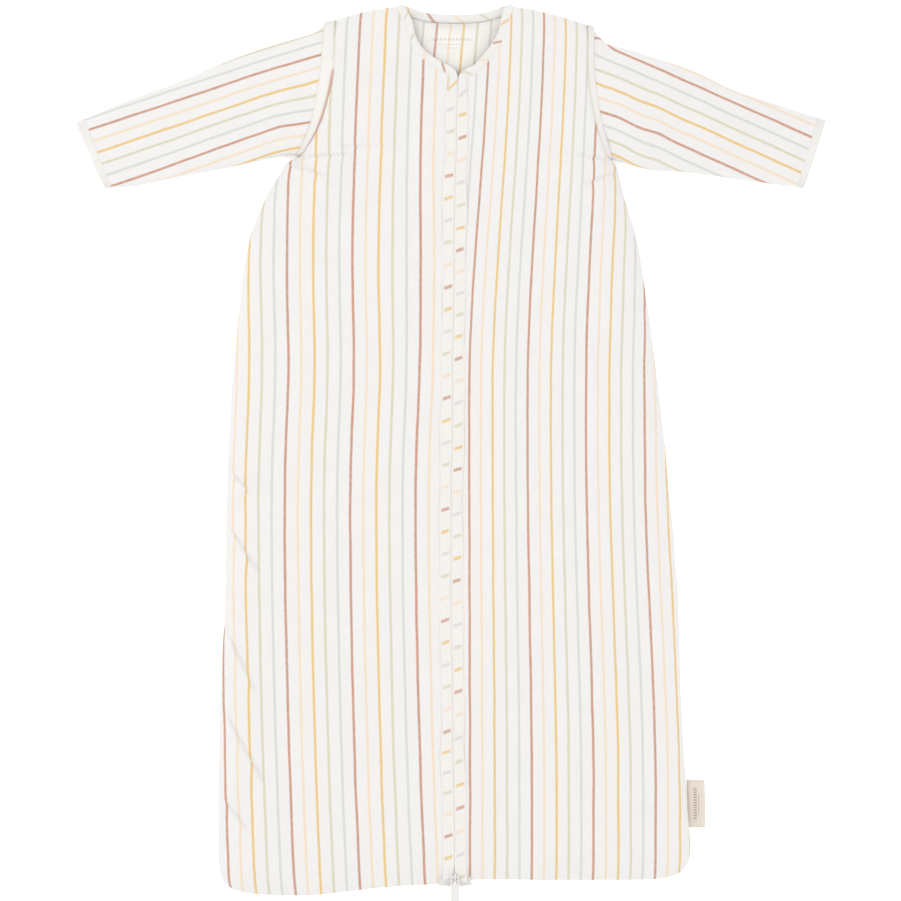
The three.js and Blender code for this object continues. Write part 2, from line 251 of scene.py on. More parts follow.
def tuck(p, start, end, height, width):
    """A fold with a steep face along the line from start to end and a long slope to the left of it."""
    a, b = np.array(start), np.array(end)
    ab = b - a
    length = np.hypot(*ab)
    t = (p - a) @ ab / length**2
    left = ((p - a) @ np.array([-ab[1], ab[0]])) / length
    shape = np.where(left >= 0, np.exp(-((np.abs(left) / width) ** 1.4)), np.clip(1 + left / TUCK_DROP, 0, 1))
    return height * shape * smoothstep(-0.12, 0.25, t) * smoothstep(1.12, 0.7, t)


def folds(points, kind, rows):
    """The height that creases or tucks add, from rows of start, end, and height and width in millimetres."""
    return sum(kind(points, start, end, height * MM, width * MM) for start, end, height, width in rows)


def tuck_points(tucks, spacing=2.6 * MM):
    """Rows of points along each tuck's line and along the foot of its steep face."""
    rows = []
    for start, end, *_ in tucks:
        line = resample([start, end], spacing)
        along = line[-1] - line[0]
        down = np.array([along[1], -along[0]]) / np.hypot(*along) * TUCK_DROP
        rows += [line, line + down]
    return rows


def inset_line(line, inset, side_sign):
    """A half's edge line moved inward."""
    along = np.gradient(line, axis=0)
    along /= np.linalg.norm(along, axis=1)[:, None]
    return line + inset * side_sign * np.column_stack([along[:, 1], -along[:, 0]])


def edge_points(side, insets=(1.0 * MM, 2.4 * MM)):
    """Rows of points close inside a half's seams, where the cloth turns steeply."""
    return [inset_line(line, inset, SIDES[side]) for line in SEAMS[side] for inset in insets]


# ---- Meshes ----
def piece(name, verts, faces, material, body=None, replaces=(), attributes=()):
    """Makes a mesh object, gives it its material and named point attributes, and puts it on its body."""
    mesh = bpy.data.meshes.new(name)
    mesh.from_pydata(np.asarray(verts, float).tolist(), [], [list(map(int, f)) for f in faces])
    mesh.polygons.foreach_set("use_smooth", [True] * len(mesh.polygons))
    for key, values in dict(attributes).items():
        attribute = mesh.attributes.new(key, "FLOAT_VECTOR", "POINT")
        attribute.data.foreach_set("vector", np.asarray(values, np.float32).ravel())
    mesh.materials.append(material)
    obj = bpy.data.objects.new(name, mesh)
    bpy.context.scene.collection.objects.link(obj)
    if replaces:
        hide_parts(*replaces)
    if body:
        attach(obj, body)
    return obj


def doubled_areas(points, faces):
    """Twice each triangle's area in the plan, negative where its points run clockwise."""
    a, b, c = (points[faces[:, k]] for k in range(3))
    ab, ac = b - a, c - a
    return ab[:, 0] * ac[:, 1] - ab[:, 1] * ac[:, 0]


def fill(loop, spacing, extra=()):
    """Points and triangles that fill a closed outline, evenly, with any extra points kept."""
    low, high = loop.min(0), loop.max(0)
    rows = np.arange(low[1], high[1], spacing * 0.866)
    columns = np.arange(low[0], high[0] + spacing, spacing)
    grid = np.array([(x + (i % 2) * spacing / 2, y) for i, y in enumerate(rows) for x in columns])
    rim = [closed(loop)]
    grid = grid[inside(grid, loop) & (distance(grid, rim) > 0.6 * spacing)]
    if len(extra):
        extra = extra[inside(extra, loop) & (distance(extra, rim) > 0.2 * spacing)]
        apart = np.min(np.hypot(*(grid[:, None] - extra[None]).transpose(2, 0, 1)), axis=1)
        grid = np.vstack([extra, grid[apart > 0.6 * spacing]])
    points = [Vector(p) for p in np.vstack([loop, grid])]
    edges = [(i, (i + 1) % len(loop)) for i in range(len(loop))]
    points, _, faces, *_ = geometry.delaunay_2d_cdt(points, edges, [], 1, 1e-7)
    points, faces = np.array(points), np.array(faces)
    clockwise = doubled_areas(points, faces) < 0
    faces[clockwise] = faces[clockwise][:, ::-1]
    return points, faces


def edges_in(faces):
    """Every triangle's three edges, in its own direction."""
    return np.vstack([faces[:, [0, 1]], faces[:, [1, 2]], faces[:, [2, 0]]])


def rim_edges(faces):
    """The directed edges that only one triangle uses."""
    edges = edges_in(faces).tolist()
    known = {(a, b) for a, b in edges}
    return [(a, b) for a, b in edges if (b, a) not in known]


def closed_pad(flat, upper, lower, faces):
    """A closed body between an upper and a lower height over the same triangles in the plan."""
    n = len(flat)
    rim = [(a, a + n, b + n, b) for a, b in rim_edges(faces)]
    verts = np.vstack([np.column_stack([flat, height]) for height in (upper, lower)])
    return verts, [*faces.tolist(), *(faces[:, ::-1] + n).tolist(), *rim]


def ring_faces(rows, around, flip, base=0):
    """The four-sided faces of a tube that has this many rings of points."""
    faces = []
    for i in range(rows - 1):
        for k in range(around):
            a, b = base + i * around + k, base + i * around + (k + 1) % around
            faces.append((a, a + around, b + around, b) if flip else (a, b, b + around, a + around))
    return faces


def capped_tube(rows, around, flip=False, base=0):
    """A tube's faces, with one over each end."""
    first = tuple(range(base, base + around))
    last = tuple(v + (rows - 1) * around for v in first)
    caps = [first, last[::-1]] if flip else [first[::-1], last]
    return ring_faces(rows, around, flip, base) + caps


def thick_tube(outer, inner, flip):
    """A closed body from two nested tubes with the same rows."""
    rows, around = outer.shape[:2]
    n = rows * around
    faces = ring_faces(rows, around, flip)
    faces += [tuple(v + n for v in f[::-1]) for f in faces]
    for row, turn in ((0, True), (rows - 1, False)):
        for k in range(around):
            a, b = row * around + k, row * around + (k + 1) % around
            face = (a, b, b + n, a + n)
            faces.append(face if turn == flip else face[::-1])
    return np.vstack([outer.reshape(-1, 3), inner.reshape(-1, 3)]), faces


def rounded_section(count, power, up_power=None):
    """The points of a rounded rectangle, from -1 to 1 both ways. Lower powers make squarer ones."""
    angle = np.arange(count) / count * 2 * np.pi
    c, s = np.cos(angle), np.sin(angle)
    return np.sign(c) * np.abs(c) ** power, np.sign(s) * np.abs(s) ** (up_power or power)


# ---- Cloth ----
SETTLE_STEPS, SETTLE_FALL, BEND_STIFFNESS = 90, 0.02 * MM, 0.35


def share_out(index, push, count):
    """The sum of the pushes on each point."""
    return np.column_stack([np.bincount(index, push[:, k], count) for k in range(3)])


def settle(points, faces, pinned, support, slack):
    """Lets cloth that is longer than its bed by slack fall onto it, with its links kept at their length."""
    edges = np.unique(np.sort(edges_in(faces), axis=1), axis=0)
    across, bends = {}, []
    for face in faces.tolist():
        for k in range(3):
            a, b, c = face[k], face[(k + 1) % 3], face[(k + 2) % 3]
            key = (min(a, b), max(a, b))
            if key in across:
                bends.append((across[key], c))
            across[key] = c
    links = np.vstack([edges, np.array(bends)])
    stiff = np.concatenate([np.ones(len(edges)), np.full(len(bends), BEND_STIFFNESS)])[:, None]
    a, b = links.T
    rest = np.linalg.norm(points[a] - points[b], axis=1) * (1 + (slack[a] + slack[b]) / 2)
    degree = sum(np.bincount(end, stiff[:, 0], len(points)) for end in (a, b))[:, None]
    x, v = points.copy(), np.zeros_like(points)
    for _ in range(SETTLE_STEPS):
        v *= 0.9
        v[:, 2] -= SETTLE_FALL
        guess = x + v
        for _ in range(4):
            d = guess[b] - guess[a]
            length = np.linalg.norm(d, axis=1)
            push = d * (0.5 * (length - rest) / length)[:, None] * stiff
            guess += 1.3 * (share_out(a, push, len(x)) - share_out(b, push, len(x))) / degree
            guess[:, 2] = np.maximum(guess[:, 2], support)
            guess[pinned] = points[pinned]
        v, x = guess - x, guess
    return x


# ---- Node graphs ----
def linear(srgb):
    """A colour given as 0 to 255 sRGB values, as the renderer's linear colour."""
    c = np.array(srgb, float) / 255
    return (*np.where(c <= 0.04045, c / 12.92, ((c + 0.055) / 1.055) ** 2.4), 1.0)


class Graph:
    """A material's node graph, with a shorter way to write it."""

    def __init__(self, name):
        self.material = bpy.data.materials.new(name)
        self.material.use_nodes = True
        self.nodes = self.material.node_tree.nodes
        self.links = self.material.node_tree.links
        self.shader = self.nodes["Principled BSDF"]

    def add(self, kind, inputs=(), **settings):
        made = self.nodes.new(kind)
        for key, value in settings.items():
            setattr(made, key, value)
        for key, value in dict(inputs).items():
            self.put(made.inputs[key], value)
        return made

    def put(self, socket, value):
        if isinstance(value, bpy.types.NodeSocket):
            self.links.new(value, socket)
        else:
            socket.default_value = value

    def math(self, operation, *values):
        made = self.add("ShaderNodeMath", operation=operation)
        for socket, value in zip(made.inputs, values):
            self.put(socket, value)
        return made.outputs[0]

    def attribute(self, name):
        return self.add("ShaderNodeAttribute", attribute_name=name).outputs["Vector"]

    def split(self, vector):
        return self.add("ShaderNodeSeparateXYZ", {"Vector": vector}).outputs

    def noise(self, vector, scale, detail):
        inputs = {"Vector": vector, "Scale": scale, "Detail": detail}
        return self.add("ShaderNodeTexNoise", inputs).outputs["Fac"]

    def stretched(self, vector, scale):
        return self.add("ShaderNodeMapping", {"Vector": vector, "Scale": scale}).outputs["Vector"]

    def ease(self, value, low, high, to_low, to_high):
        inputs = {"Value": value, "From Min": low, "From Max": high, "To Min": to_low, "To Max": to_high}
        return self.add("ShaderNodeMapRange", inputs, interpolation_type="SMOOTHSTEP").outputs["Result"]

    def band(self, value, middle, half, soft):
        """1 within half of the middle, and 0 beyond a soft border."""
        away = self.math("ABSOLUTE", self.math("SUBTRACT", value, middle))
        return self.ease(away, half, half + soft, 1.0, 0.0)

    def product(self, first, *others):
        for other in others:
            first = self.math("MULTIPLY", first, other)
        return first

    def mix(self, share, first, second):
        made = self.add("ShaderNodeMix", data_type="RGBA")
        self.put(made.inputs[0], share)
        self.put(made.inputs[6], first)
        self.put(made.inputs[7], second)
        return made.outputs[2]

    def bump(self, height, distance, strength=1.0, normal=None):
        inputs = {"Height": height, "Distance": distance, "Strength": strength}
        if normal is not None:
            inputs["Normal"] = normal
        return self.add("ShaderNodeBump", inputs).outputs["Normal"]

    def finish(self, color, roughness, normal=None, **settings):
        self.put(self.shader.inputs["Base Color"], color)
        self.put(self.shader.inputs["Roughness"], roughness)
        if normal is not None:
            self.put(self.shader.inputs["Normal"], normal)
        for key, value in settings.items():
            self.shader.inputs[key.replace("_", " ")].default_value = value
        return self.material


def weave(graph, flat, period, depth, under=None):
    """A plain weave: two crossed sets of threads, this far apart, on top of any coarser bump."""
    inputs = {"Vector": flat, "Scale": 2 * math.pi / (20 * period), "Distortion": 0.6, "Detail": 1.0}
    bands = [graph.add("ShaderNodeTexWave", inputs, bands_direction=way).outputs["Fac"] for way in "XY"]
    return graph.bump(graph.math("MAXIMUM", *bands), depth, normal=under)


def stripes(graph, flat, base, strength, order):
    """The printed lines, from each point's stripe number, half line width in stripes, and share of ink."""
    number, half, share = graph.split(graph.attribute("stripe"))
    drawn = graph.math("MULTIPLY_ADD", graph.noise(graph.stretched(flat, (1, 0.35, 1)), 55, 2), 0.1, -0.05)
    number = graph.math("ADD", number, drawn)
    whole = graph.math("ROUND", number)
    away = graph.math("DIVIDE", graph.math("ABSOLUTE", graph.math("SUBTRACT", number, whole)), half)
    grain = graph.noise(graph.stretched(flat, (1, 0.45, 1)), 1500, 3)
    away = graph.math("ADD", away, graph.math("MULTIPLY_ADD", grain, 0.4, -0.2))
    line = graph.ease(away, 0.6, 1.4, 1.0, 0.0)
    ink = graph.ease(graph.noise(flat, 260, 3), 0.3, 0.62, 0.86, 1.0)
    line = graph.product(line, ink, share, strength)
    which = graph.math("DIVIDE", graph.math("ADD", graph.math("FLOORED_MODULO", whole, 5.0), 0.5), 5.0)
    ramp = graph.add("ShaderNodeValToRGB", {"Fac": which})
    ramp.color_ramp.interpolation = "CONSTANT"
    for i, colour in enumerate(order):
        stop = ramp.color_ramp.elements[0] if i == 0 else ramp.color_ramp.elements.new(i / 5)
        stop.position = i / 5
        stop.color = linear(colour)
    return graph.mix(line, base, ramp.outputs["Color"])


def neck_marks(graph, flat):
    """Three short rows of plain bars inside the back of the neck, which stand for no letters."""
    x, y, _ = graph.split(flat)
    marks = 0.0
    for height, tall, half, pitch in ((417.0, 1.0, 21, 3.9), (411.8, 0.5, 13, 2.9), (408.2, 0.5, 8, 2.9)):
        row = graph.band(y, height * MM, tall * MM, 0.3 * MM)
        wide = graph.band(x, -4 * MM, half * MM, 0.4 * MM)
        bar = graph.band(graph.math("FRACT", graph.math("DIVIDE", x, pitch * MM)), 0.5, 0.24, 0.10)
        marks = graph.math("MAXIMUM", marks, graph.product(row, wide, bar))
    return graph.math("MULTIPLY", marks, 0.5)


def printed_cloth(name, srgb, strength=1.0, order=CLOTH_ORDER, marks=None):
    """Off-white cotton muslin with fine woven threads and printed stripes."""
    graph = Graph(name)
    flat = graph.attribute("flat")
    mottle = graph.noise(flat, 38, 4)
    base = graph.mix(mottle, linear([c - 3 for c in srgb]), linear([min(c + 2, 255) for c in srgb]))
    slub = graph.noise(graph.stretched(flat, (1, 0.06, 1)), 900, 2)
    base = graph.mix(graph.math("MULTIPLY", slub, 0.10), base, linear([c - 14 for c in srgb]))
    color = stripes(graph, flat, base, strength, order)
    if marks:
        color = graph.mix(marks(graph, flat), color, linear((190, 184, 178)))
    crinkle = graph.bump(graph.noise(graph.stretched(flat, (1, 0.6, 1)), 95, 3), 0.7 * MM, 0.5)
    threads = weave(graph, flat, 0.62 * MM, 0.11 * MM, crinkle)
    roughness = graph.ease(mottle, 0.3, 0.7, 0.88, 0.95)
    return graph.finish(color, roughness, threads, Sheen_Weight=0.18, Sheen_Roughness=0.5,
                        Specular_IOR_Level=0.25)


def tape_cloth(name, srgb):
    """Closely woven undyed tape without print."""
    graph = Graph(name)
    flat = graph.attribute("flat")
    mottle = graph.noise(flat, 60, 4)
    base = graph.mix(mottle, linear([c - 5 for c in srgb]), linear(srgb))
    roughness = graph.ease(mottle, 0.3, 0.7, 0.76, 0.83)
    threads = weave(graph, flat, 0.9 * MM, 0.15 * MM)
    return graph.finish(base, roughness, threads, Sheen_Weight=0.15, Specular_IOR_Level=0.25)


def solid_material(name, srgb, rough, scale, depth, coat=0.0):
    """Moulded plastic, thread or lacquered metal, with a fine surface of its own."""
    graph = Graph(name)
    place = graph.add("ShaderNodeTexCoord").outputs["Object"]
    grain = graph.noise(place, scale, 3)
    base = graph.mix(grain, linear([c - 6 for c in srgb]), linear(srgb))
    roughness = graph.ease(grain, 0.3, 0.7, rough - 0.05, rough + 0.06)
    return graph.finish(base, roughness, graph.bump(grain, depth), Coat_Weight=coat)


SHELL = printed_cloth("printed_muslin", (233, 231, 229))
WELT = {side: printed_cloth(f"welt_muslin_{side}", (234, 231, 227), 0.85, WELT_ORDER[side]) for side in SIDES}
BINDING = printed_cloth("binding_muslin", (232, 230, 226), 0.85, WELT_ORDER["left"])
INSIDE = printed_cloth("lining_muslin", (239, 236, 230), 0.9)
BACK_INSIDE = printed_cloth("back_lining_muslin", (239, 236, 231), 0.9, marks=neck_marks)
THREAD = solid_material("cotton_thread", (236, 232, 225), 0.85, 2500, 0.03 * MM)
TAPE = tape_cloth("zip_tape_weave", (235, 234, 231))
NYLON = solid_material("nylon", (236, 235, 231), 0.42, 900, 0.005 * MM)
LACQUER = solid_material("slider_lacquer", (226, 225, 222), 0.32, 400, 0.003 * MM, 0.3)


# ---- The two halves' outlines ----
def edges_of(side):
    """The shoulder, armhole, flank and hem of one half, in order from the neck point round to the zip."""
    armhole = [(x + ARMHOLE_LAP, y) for x, y in ARMHOLE_IN[side]]
    lines = (SHOULDER[side], armhole, SIDE[side], HEM[side])
    return [spline(on_side(line, side), PANEL_STEP) for line in lines]


def slit_x(y):
    """Where the slit between the two welts runs. It wanders a little off the middle."""
    return np.interp(y, *SLIT_SHIFT)


def chain(*lines):
    """Lines joined end to end, without points that coincide."""
    points = np.vstack(lines)
    keep = [0]
    for i in range(1, len(points)):
        if np.hypot(*(points[i] - points[keep[-1]])) > JOIN_GAP:
            keep.append(i)
    if np.hypot(*(points[keep[-1]] - points[0])) < JOIN_GAP:
        keep.pop()
    return points[keep]


def front_zip_edge(side):
    """A half's edge under its welt, from the neck to the hem. It leaves the slider room between its ends."""
    y = np.arange(NECK_FRONT[side][0][1] - 2 * MM, ZIP_FOOT, -PANEL_STEP)
    room = SLIDER_ROOM * smoothstep(-0.42, -0.38, y) * smoothstep(0.355, 0.345, y)
    return np.column_stack([SIDES[side] * (ZIP_EDGE + room) + slit_x(y), y])


def neck_front(side):
    """The bound front edge of one half, from the zip's top to the neck point."""
    return spline(on_side([*NECK_FRONT[side], NECK_POINT], side), PANEL_STEP)


def front_loop(side):
    """A front half's outline, from the zip's top round by the neck point, the side and the hem."""
    return chain(neck_front(side), *EDGES[side], front_zip_edge(side)[::-1])


def back_loop():
    """The back's outline, from the neck down the right side and up the left."""
    left = [line[::-1] for line in EDGES["left"][::-1]]
    return chain(BACK_NECK, *EDGES["right"], *left)


EDGES = {side: edges_of(side) for side in SIDES}
SEAMS = {side: [EDGES[side][0], EDGES[side][2], EDGES[side][3]] for side in SIDES}
ALL_SEAMS = [*SEAMS["left"], *SEAMS["right"]]
BACK_NECK = spline([*on_side(NECK_BACK[::-1], "left"), *NECK_BACK[1:]], PANEL_STEP)


# ---- Front panels ----
PANEL_SLACK, SEAM_SLACK = 0.0035, 0.011
CREASES = {
    "left": [((-0.160, 0.292), (-0.120, 0.262), 2.0, 6), ((-0.170, 0.280), (-0.135, 0.240), 1.8, 6),
             ((-0.150, 0.300), (-0.105, 0.292), 1.8, 5), ((-0.200, 0.230), (-0.160, 0.160), 1.6, 9),
             ((-0.205, 0.105), (-0.030, 0.100), -0.9, 12), ((-0.200, -0.245), (-0.030, -0.238), -0.9, 14),
             ((-0.210, -0.405), (-0.130, -0.420), 1.6, 7)],
    "right": [((0.155, 0.294), (0.112, 0.270), 1.9, 6), ((0.160, 0.282), (0.130, 0.236), 1.7, 7),
              ((0.150, 0.300), (0.100, 0.302), -1.1, 9), ((0.185, 0.190), (0.150, 0.110), 1.4, 10),
              ((0.030, -0.245), (0.200, -0.236), -0.9, 14), ((0.205, 0.02), (0.165, -0.05), 1.4, 10),
              ((0.222, -0.160), (0.180, -0.215), 1.4, 9), ((0.215, -0.39), (0.150, -0.41), 1.3, 8)],
}
TUCKS = {
    "left": [((-0.205, -0.038), (-0.228, -0.012), 2.0, 13), ((-0.196, -0.118), (-0.227, -0.070), 2.4, 15),
             ((-0.198, -0.240), (-0.231, -0.170), 2.2, 14), ((-0.190, -0.330), (-0.230, -0.256), 2.2, 15),
             ((-0.206, -0.376), (-0.231, -0.344), 1.8, 11), ((-0.100, 0.300), (-0.158, 0.297), 1.8, 10),
             ((-0.128, 0.278), (-0.168, 0.290), 1.6, 8), ((-0.062, 0.309), (-0.128, 0.308), 1.1, 12)],
    "right": [((0.166, 0.284), (0.124, 0.268), 1.6, 9), ((0.156, 0.294), (0.118, 0.300), 1.4, 8)],
}


def front_heights(points, side):
    """The front's outer and inner height over each point of the plan."""
    seam = distance(points, SEAMS[side])
    bound = distance(points, [neck_front(side), EDGES[side][1]])
    zip_away = np.abs(points[:, 0] - slit_x(points[:, 1])) - ZIP_EDGE
    outer = SEAM_Z + RIM + (FRONT_TOP - SEAM_Z - RIM) * dome(seam / EDGE_ROLL)
    loose = smoothstep(0, 0.03, seam) * smoothstep(0.004, 0.03, zip_away) * smoothstep(0, 0.02, bound)
    broad, fine = waves(points, 0.085, 3.0, 3 + SIDES[side]), waves(points, 0.04, 1.6, 8)
    outer += loose * (0.9 * broad + 0.5 * fine) * MM
    clear = smoothstep(0, 0.012, seam) * smoothstep(0.001, 0.014, bound)
    outer += (folds(points, crease, CREASES[side]) + folds(points, tuck, TUCKS[side])) * clear
    outer -= BOUND_DIP * (1 - dome(bound / BOUND_ROLL))
    bed = 1 - smoothstep(0.008, 0.022, zip_away)
    outer += bed * (np.minimum(outer, ZIP_BED) - outer)
    inner = SEAM_Z + (FRONT_LOW - SEAM_Z) * dome(seam / INNER_ROLL) + 0.8 * MM * (1 - dome(bound / (10 * MM)))
    return outer, np.minimum(inner, outer - RIM)


def stripe_number(x, y, side):
    """Which printed stripe runs over each point of the front. Whole numbers are the middles of lines."""
    if side == "left":
        bend = 0.0100 * (y / END_WAY) ** 2 + 0.0036 * bell(y, 0.085, 0.08)
        bend += 0.0035 * bell(y, 0.190, 0.08) * smoothstep(-0.08, -0.02, x)
    else:
        bend = smoothstep(0.06, 0.46, y) * (0.0215 - 0.062 * np.clip(x - 0.014, 0, 0.15))
        bend += 0.055 * np.clip(x, 0, 0.25) * smoothstep(0.02, -0.34, y)
    return (x - FRONT_FIRST[side] - bend) / FRONT_PITCH[side]


def print_data(pressed, number, pitch, share=1.0):
    """The attributes of printed cloth, from its place when pressed flat and its stripe numbers."""
    ones = np.ones(len(pressed))
    return {"stripe": np.column_stack([number, LINE_HALF / pitch * ones, share * ones]),
            "flat": np.column_stack([pressed, 0 * ones])}


def front_print(pressed, side):
    """The print of a front half's outer cloth or lining."""
    return print_data(pressed, stripe_number(*pressed.T, side), MEAN_PITCH)


def front_panel(side):
    """A front half: outer cloth that has settled on its wadding, closed by the wadding's underside."""
    extra = np.vstack([*edge_points(side), *tuck_points(TUCKS[side])])
    flat, triangles = fill(front_loop(side), PANEL_STEP, extra)
    outer, inner = front_heights(flat, side)
    verts, faces = closed_pad(flat, outer, inner, triangles)
    seam = distance(flat, SEAMS[side])
    start = verts[: len(flat)].copy()
    start[:, 2] += 0.5 * MM * waves(flat, 0.022, 1.5, 21) * (seam > 0.004)
    pinned = np.unique(np.array(rim_edges(triangles)))
    slack = PANEL_SLACK + SEAM_SLACK * np.exp(-seam / EDGE_ROLL)
    verts[: len(flat)] = settle(start, triangles, pinned, outer - 0.2 * MM, slack)
    pressed = unrolled(flat, SEAMS[side], EDGE_ROLL, FRONT_TOP - SEAM_Z - RIM)
    taken_up = [(start, end, 0.8 * height, 0.7 * width) for start, end, height, width in TUCKS[side]]
    pressed[:, 0] += SIDES[side] * folds(flat, tuck, taken_up)
    obj = piece(f"front_panel_{side}", verts, faces, SHELL, "bag",
                (f"front_outer_{side}", f"front_wadding_{side}"),
                front_print(np.vstack([pressed, pressed]), side))


# ---- Back panel ----
def back_heights(points):
    """The back's inner and outer height over each point of the plan."""
    seam = distance(points, ALL_SEAMS)
    bound = distance(points, [BACK_NECK, EDGES["left"][1], EDGES["right"][1]])
    outer = FLOOR_CLEAR + (SEAM_Z - RIM - FLOOR_CLEAR) * (1 - dome(seam / BACK_ROLL))
    outer += 1.6 * MM * (1 - dome(bound / (12 * MM))) * smoothstep(0, 0.012, seam)
    outer += 0.35 * MM * (1 + waves(points, 0.05, 2, 5)) * smoothstep(0, 0.02, seam)
    inner = BACK_TOP + (SEAM_Z - BACK_TOP) * (1 - dome(seam / BACK_ROLL))
    return np.maximum(inner, outer + RIM), outer


def back_panel():
    """The back: wadding above and outer cloth below, in one closed pad."""
    flat, triangles = fill(back_loop(), BACK_STEP, np.vstack([*edge_points("left"), *edge_points("right")]))
    inner, outer = back_heights(flat)
    verts, faces = closed_pad(flat, inner, outer, triangles)
    pressed = unrolled(flat, ALL_SEAMS, BACK_ROLL, SEAM_Z - RIM - FLOOR_CLEAR)
    both = np.vstack([pressed, pressed])
    number = both[:, 0] / BACK_PITCH + 0.6 * (both[:, 1] / END_WAY) ** 2
    obj = piece("back_panel", verts, faces, SHELL, "bag", ("back_outer", "back_wadding"),
                print_data(both, number, BACK_PITCH))


# ---- Linings ----
LINING, LINING_CLEAR, LINING_INSET, LINING_STEP = 1.0 * MM, 0.25 * MM, 5 * MM, 8 * MM
FRONT_LINING_SAG, NECK_SWELL = 0.7 * MM, 5.2 * MM


def shrunk(loop, inset):
    """A closed loop moved inward."""
    along = np.roll(loop, -1, axis=0) - np.roll(loop, 1, axis=0)
    along /= np.linalg.norm(along, axis=1)[:, None]
    inward = np.column_stack([-along[:, 1], along[:, 0]])
    area = np.sum(loop[:, 0] * np.roll(loop[:, 1], -1) - loop[:, 1] * np.roll(loop[:, 0], -1))
    return loop + np.sign(area) * inset * inward


def lining(name, loop, low_height, print_of, replaced, material):
    """A thin sheet over the plan, a little in from the seams. Its flat size is what it covers."""
    flat, triangles = fill(chain(shrunk(loop, LINING_INSET)), LINING_STEP)
    away = distance(flat, [closed(loop)])
    low = low_height(flat) + 0.3 * MM * (1 + waves(flat, 0.06, 2, 14)) * smoothstep(0.01, 0.05, away)
    verts, faces = closed_pad(flat, low + LINING, low, triangles)
    obj = piece(name, verts, faces, material, "bag", (replaced,), print_of(np.vstack([flat, flat])))


def back_lining():
    """The back's lining, which rises behind the neck opening."""
    def printed(points):
        x, y = points.T
        return print_data(points, (x + 0.018 + 0.094 * (END_WAY - y)) / BACK_LINING_PITCH, BACK_LINING_PITCH)

    def bed(points):
        swell = bell(points[:, 0], 0, 0.042) * bell(points[:, 1], 0.401, 0.031)
        return back_heights(points)[0] + LINING_CLEAR + NECK_SWELL * swell

    lining("back_lining_sheet", back_loop(), bed, printed, "back_lining", BACK_INSIDE)


def front_lining(side):
    """A front half's lining, just under its wadding."""
    def printed(points):
        return front_print(points, side)

    def bed(points):
        return front_heights(points, side)[1] - LINING_CLEAR - LINING - FRONT_LINING_SAG

    lining(f"front_lining_sheet_{side}", front_loop(side), bed, printed, f"front_lining_{side}", INSIDE)


# ---- Strips: a rounded section swept along a line ----
def sweep(centre, across, half_width, half_height, sides, power):
    """Points and faces of a closed strip, each point's way along it, and across and up it from -1 to 1."""
    centre = np.asarray(centre, float)
    n = len(centre)
    across = np.asarray(across, float) * np.ones((n, 1))
    along = np.gradient(centre, axis=0)
    along /= np.linalg.norm(along, axis=1)[:, None]
    across = across - np.sum(across * along, axis=1)[:, None] * along
    across /= np.linalg.norm(across, axis=1)[:, None]
    up = np.cross(across, along)
    w, h = rounded_section(sides, power)
    half_width = np.broadcast_to(half_width, n)[:, None, None]
    half_height = np.broadcast_to(half_height, n)[:, None, None]
    points = centre[:, None] + across[:, None] * half_width * w[:, None]
    points += up[:, None] * half_height * h[:, None]
    way = np.repeat(way_along(centre), sides)
    return points.reshape(-1, 3), capped_tube(n, sides), way, np.tile(w, n), np.tile(h, n)


def girth(way, w, h, half_width):
    """A strip's cloth pressed flat: across it, along it, and a little for its two faces."""
    return np.column_stack([w * half_width, way, 0.2 * h * half_width])


def dash_print(way, w, half_width, slant, first, reach):
    """Short slanted dashes on a strip that was cut across the stripes, numbered towards its start."""
    number = (first - way - slant * w * half_width) / DASH_PITCH
    share = smoothstep(reach + 0.12, reach - 0.06, np.abs(w))
    return np.column_stack([number, np.full(len(way), DASH_HALF / DASH_PITCH), share])


# ---- Welts that hide the zip ----
WELT_HALF, WELT_THICK, WELT_SINK = 6.0 * MM, 0.95 * MM, 0.85 * MM
WELT_LOW, WELT_HIGH = -0.4275, 0.3655
# The height of a brick dash, and then heights with how far the dashes have slipped there.
WELT_BRICK = {"left": -0.3815, "right": -0.352}
WELT_SLIP = {"left": ([-0.405, -0.335, -0.280, 0.36], [0.002, 0, -0.0055, -0.0055]),
             "right": ([-0.40, -0.32, -0.24, 0.12, 0.22, 0.35],
                       [-0.0025, 0.001, 0.005, 0.0045, 0.0015, 0.0045])}
WELT_SLANT, WELT_REACH, WELT_STITCHED = -0.33, 0.66, 0.74


def welt_centre(side, y, half):
    """A welt's middle. The two lie edge to edge over the zip and part a little at the hem."""
    part = 0.7 * MM * smoothstep(-0.408, -0.425, y)
    wander = 0.3 * MM * np.sin(y / 0.021) + 0.2 * MM * np.sin(y / 0.009)
    return slit_x(y) + wander + SIDES[side] * (half + part)


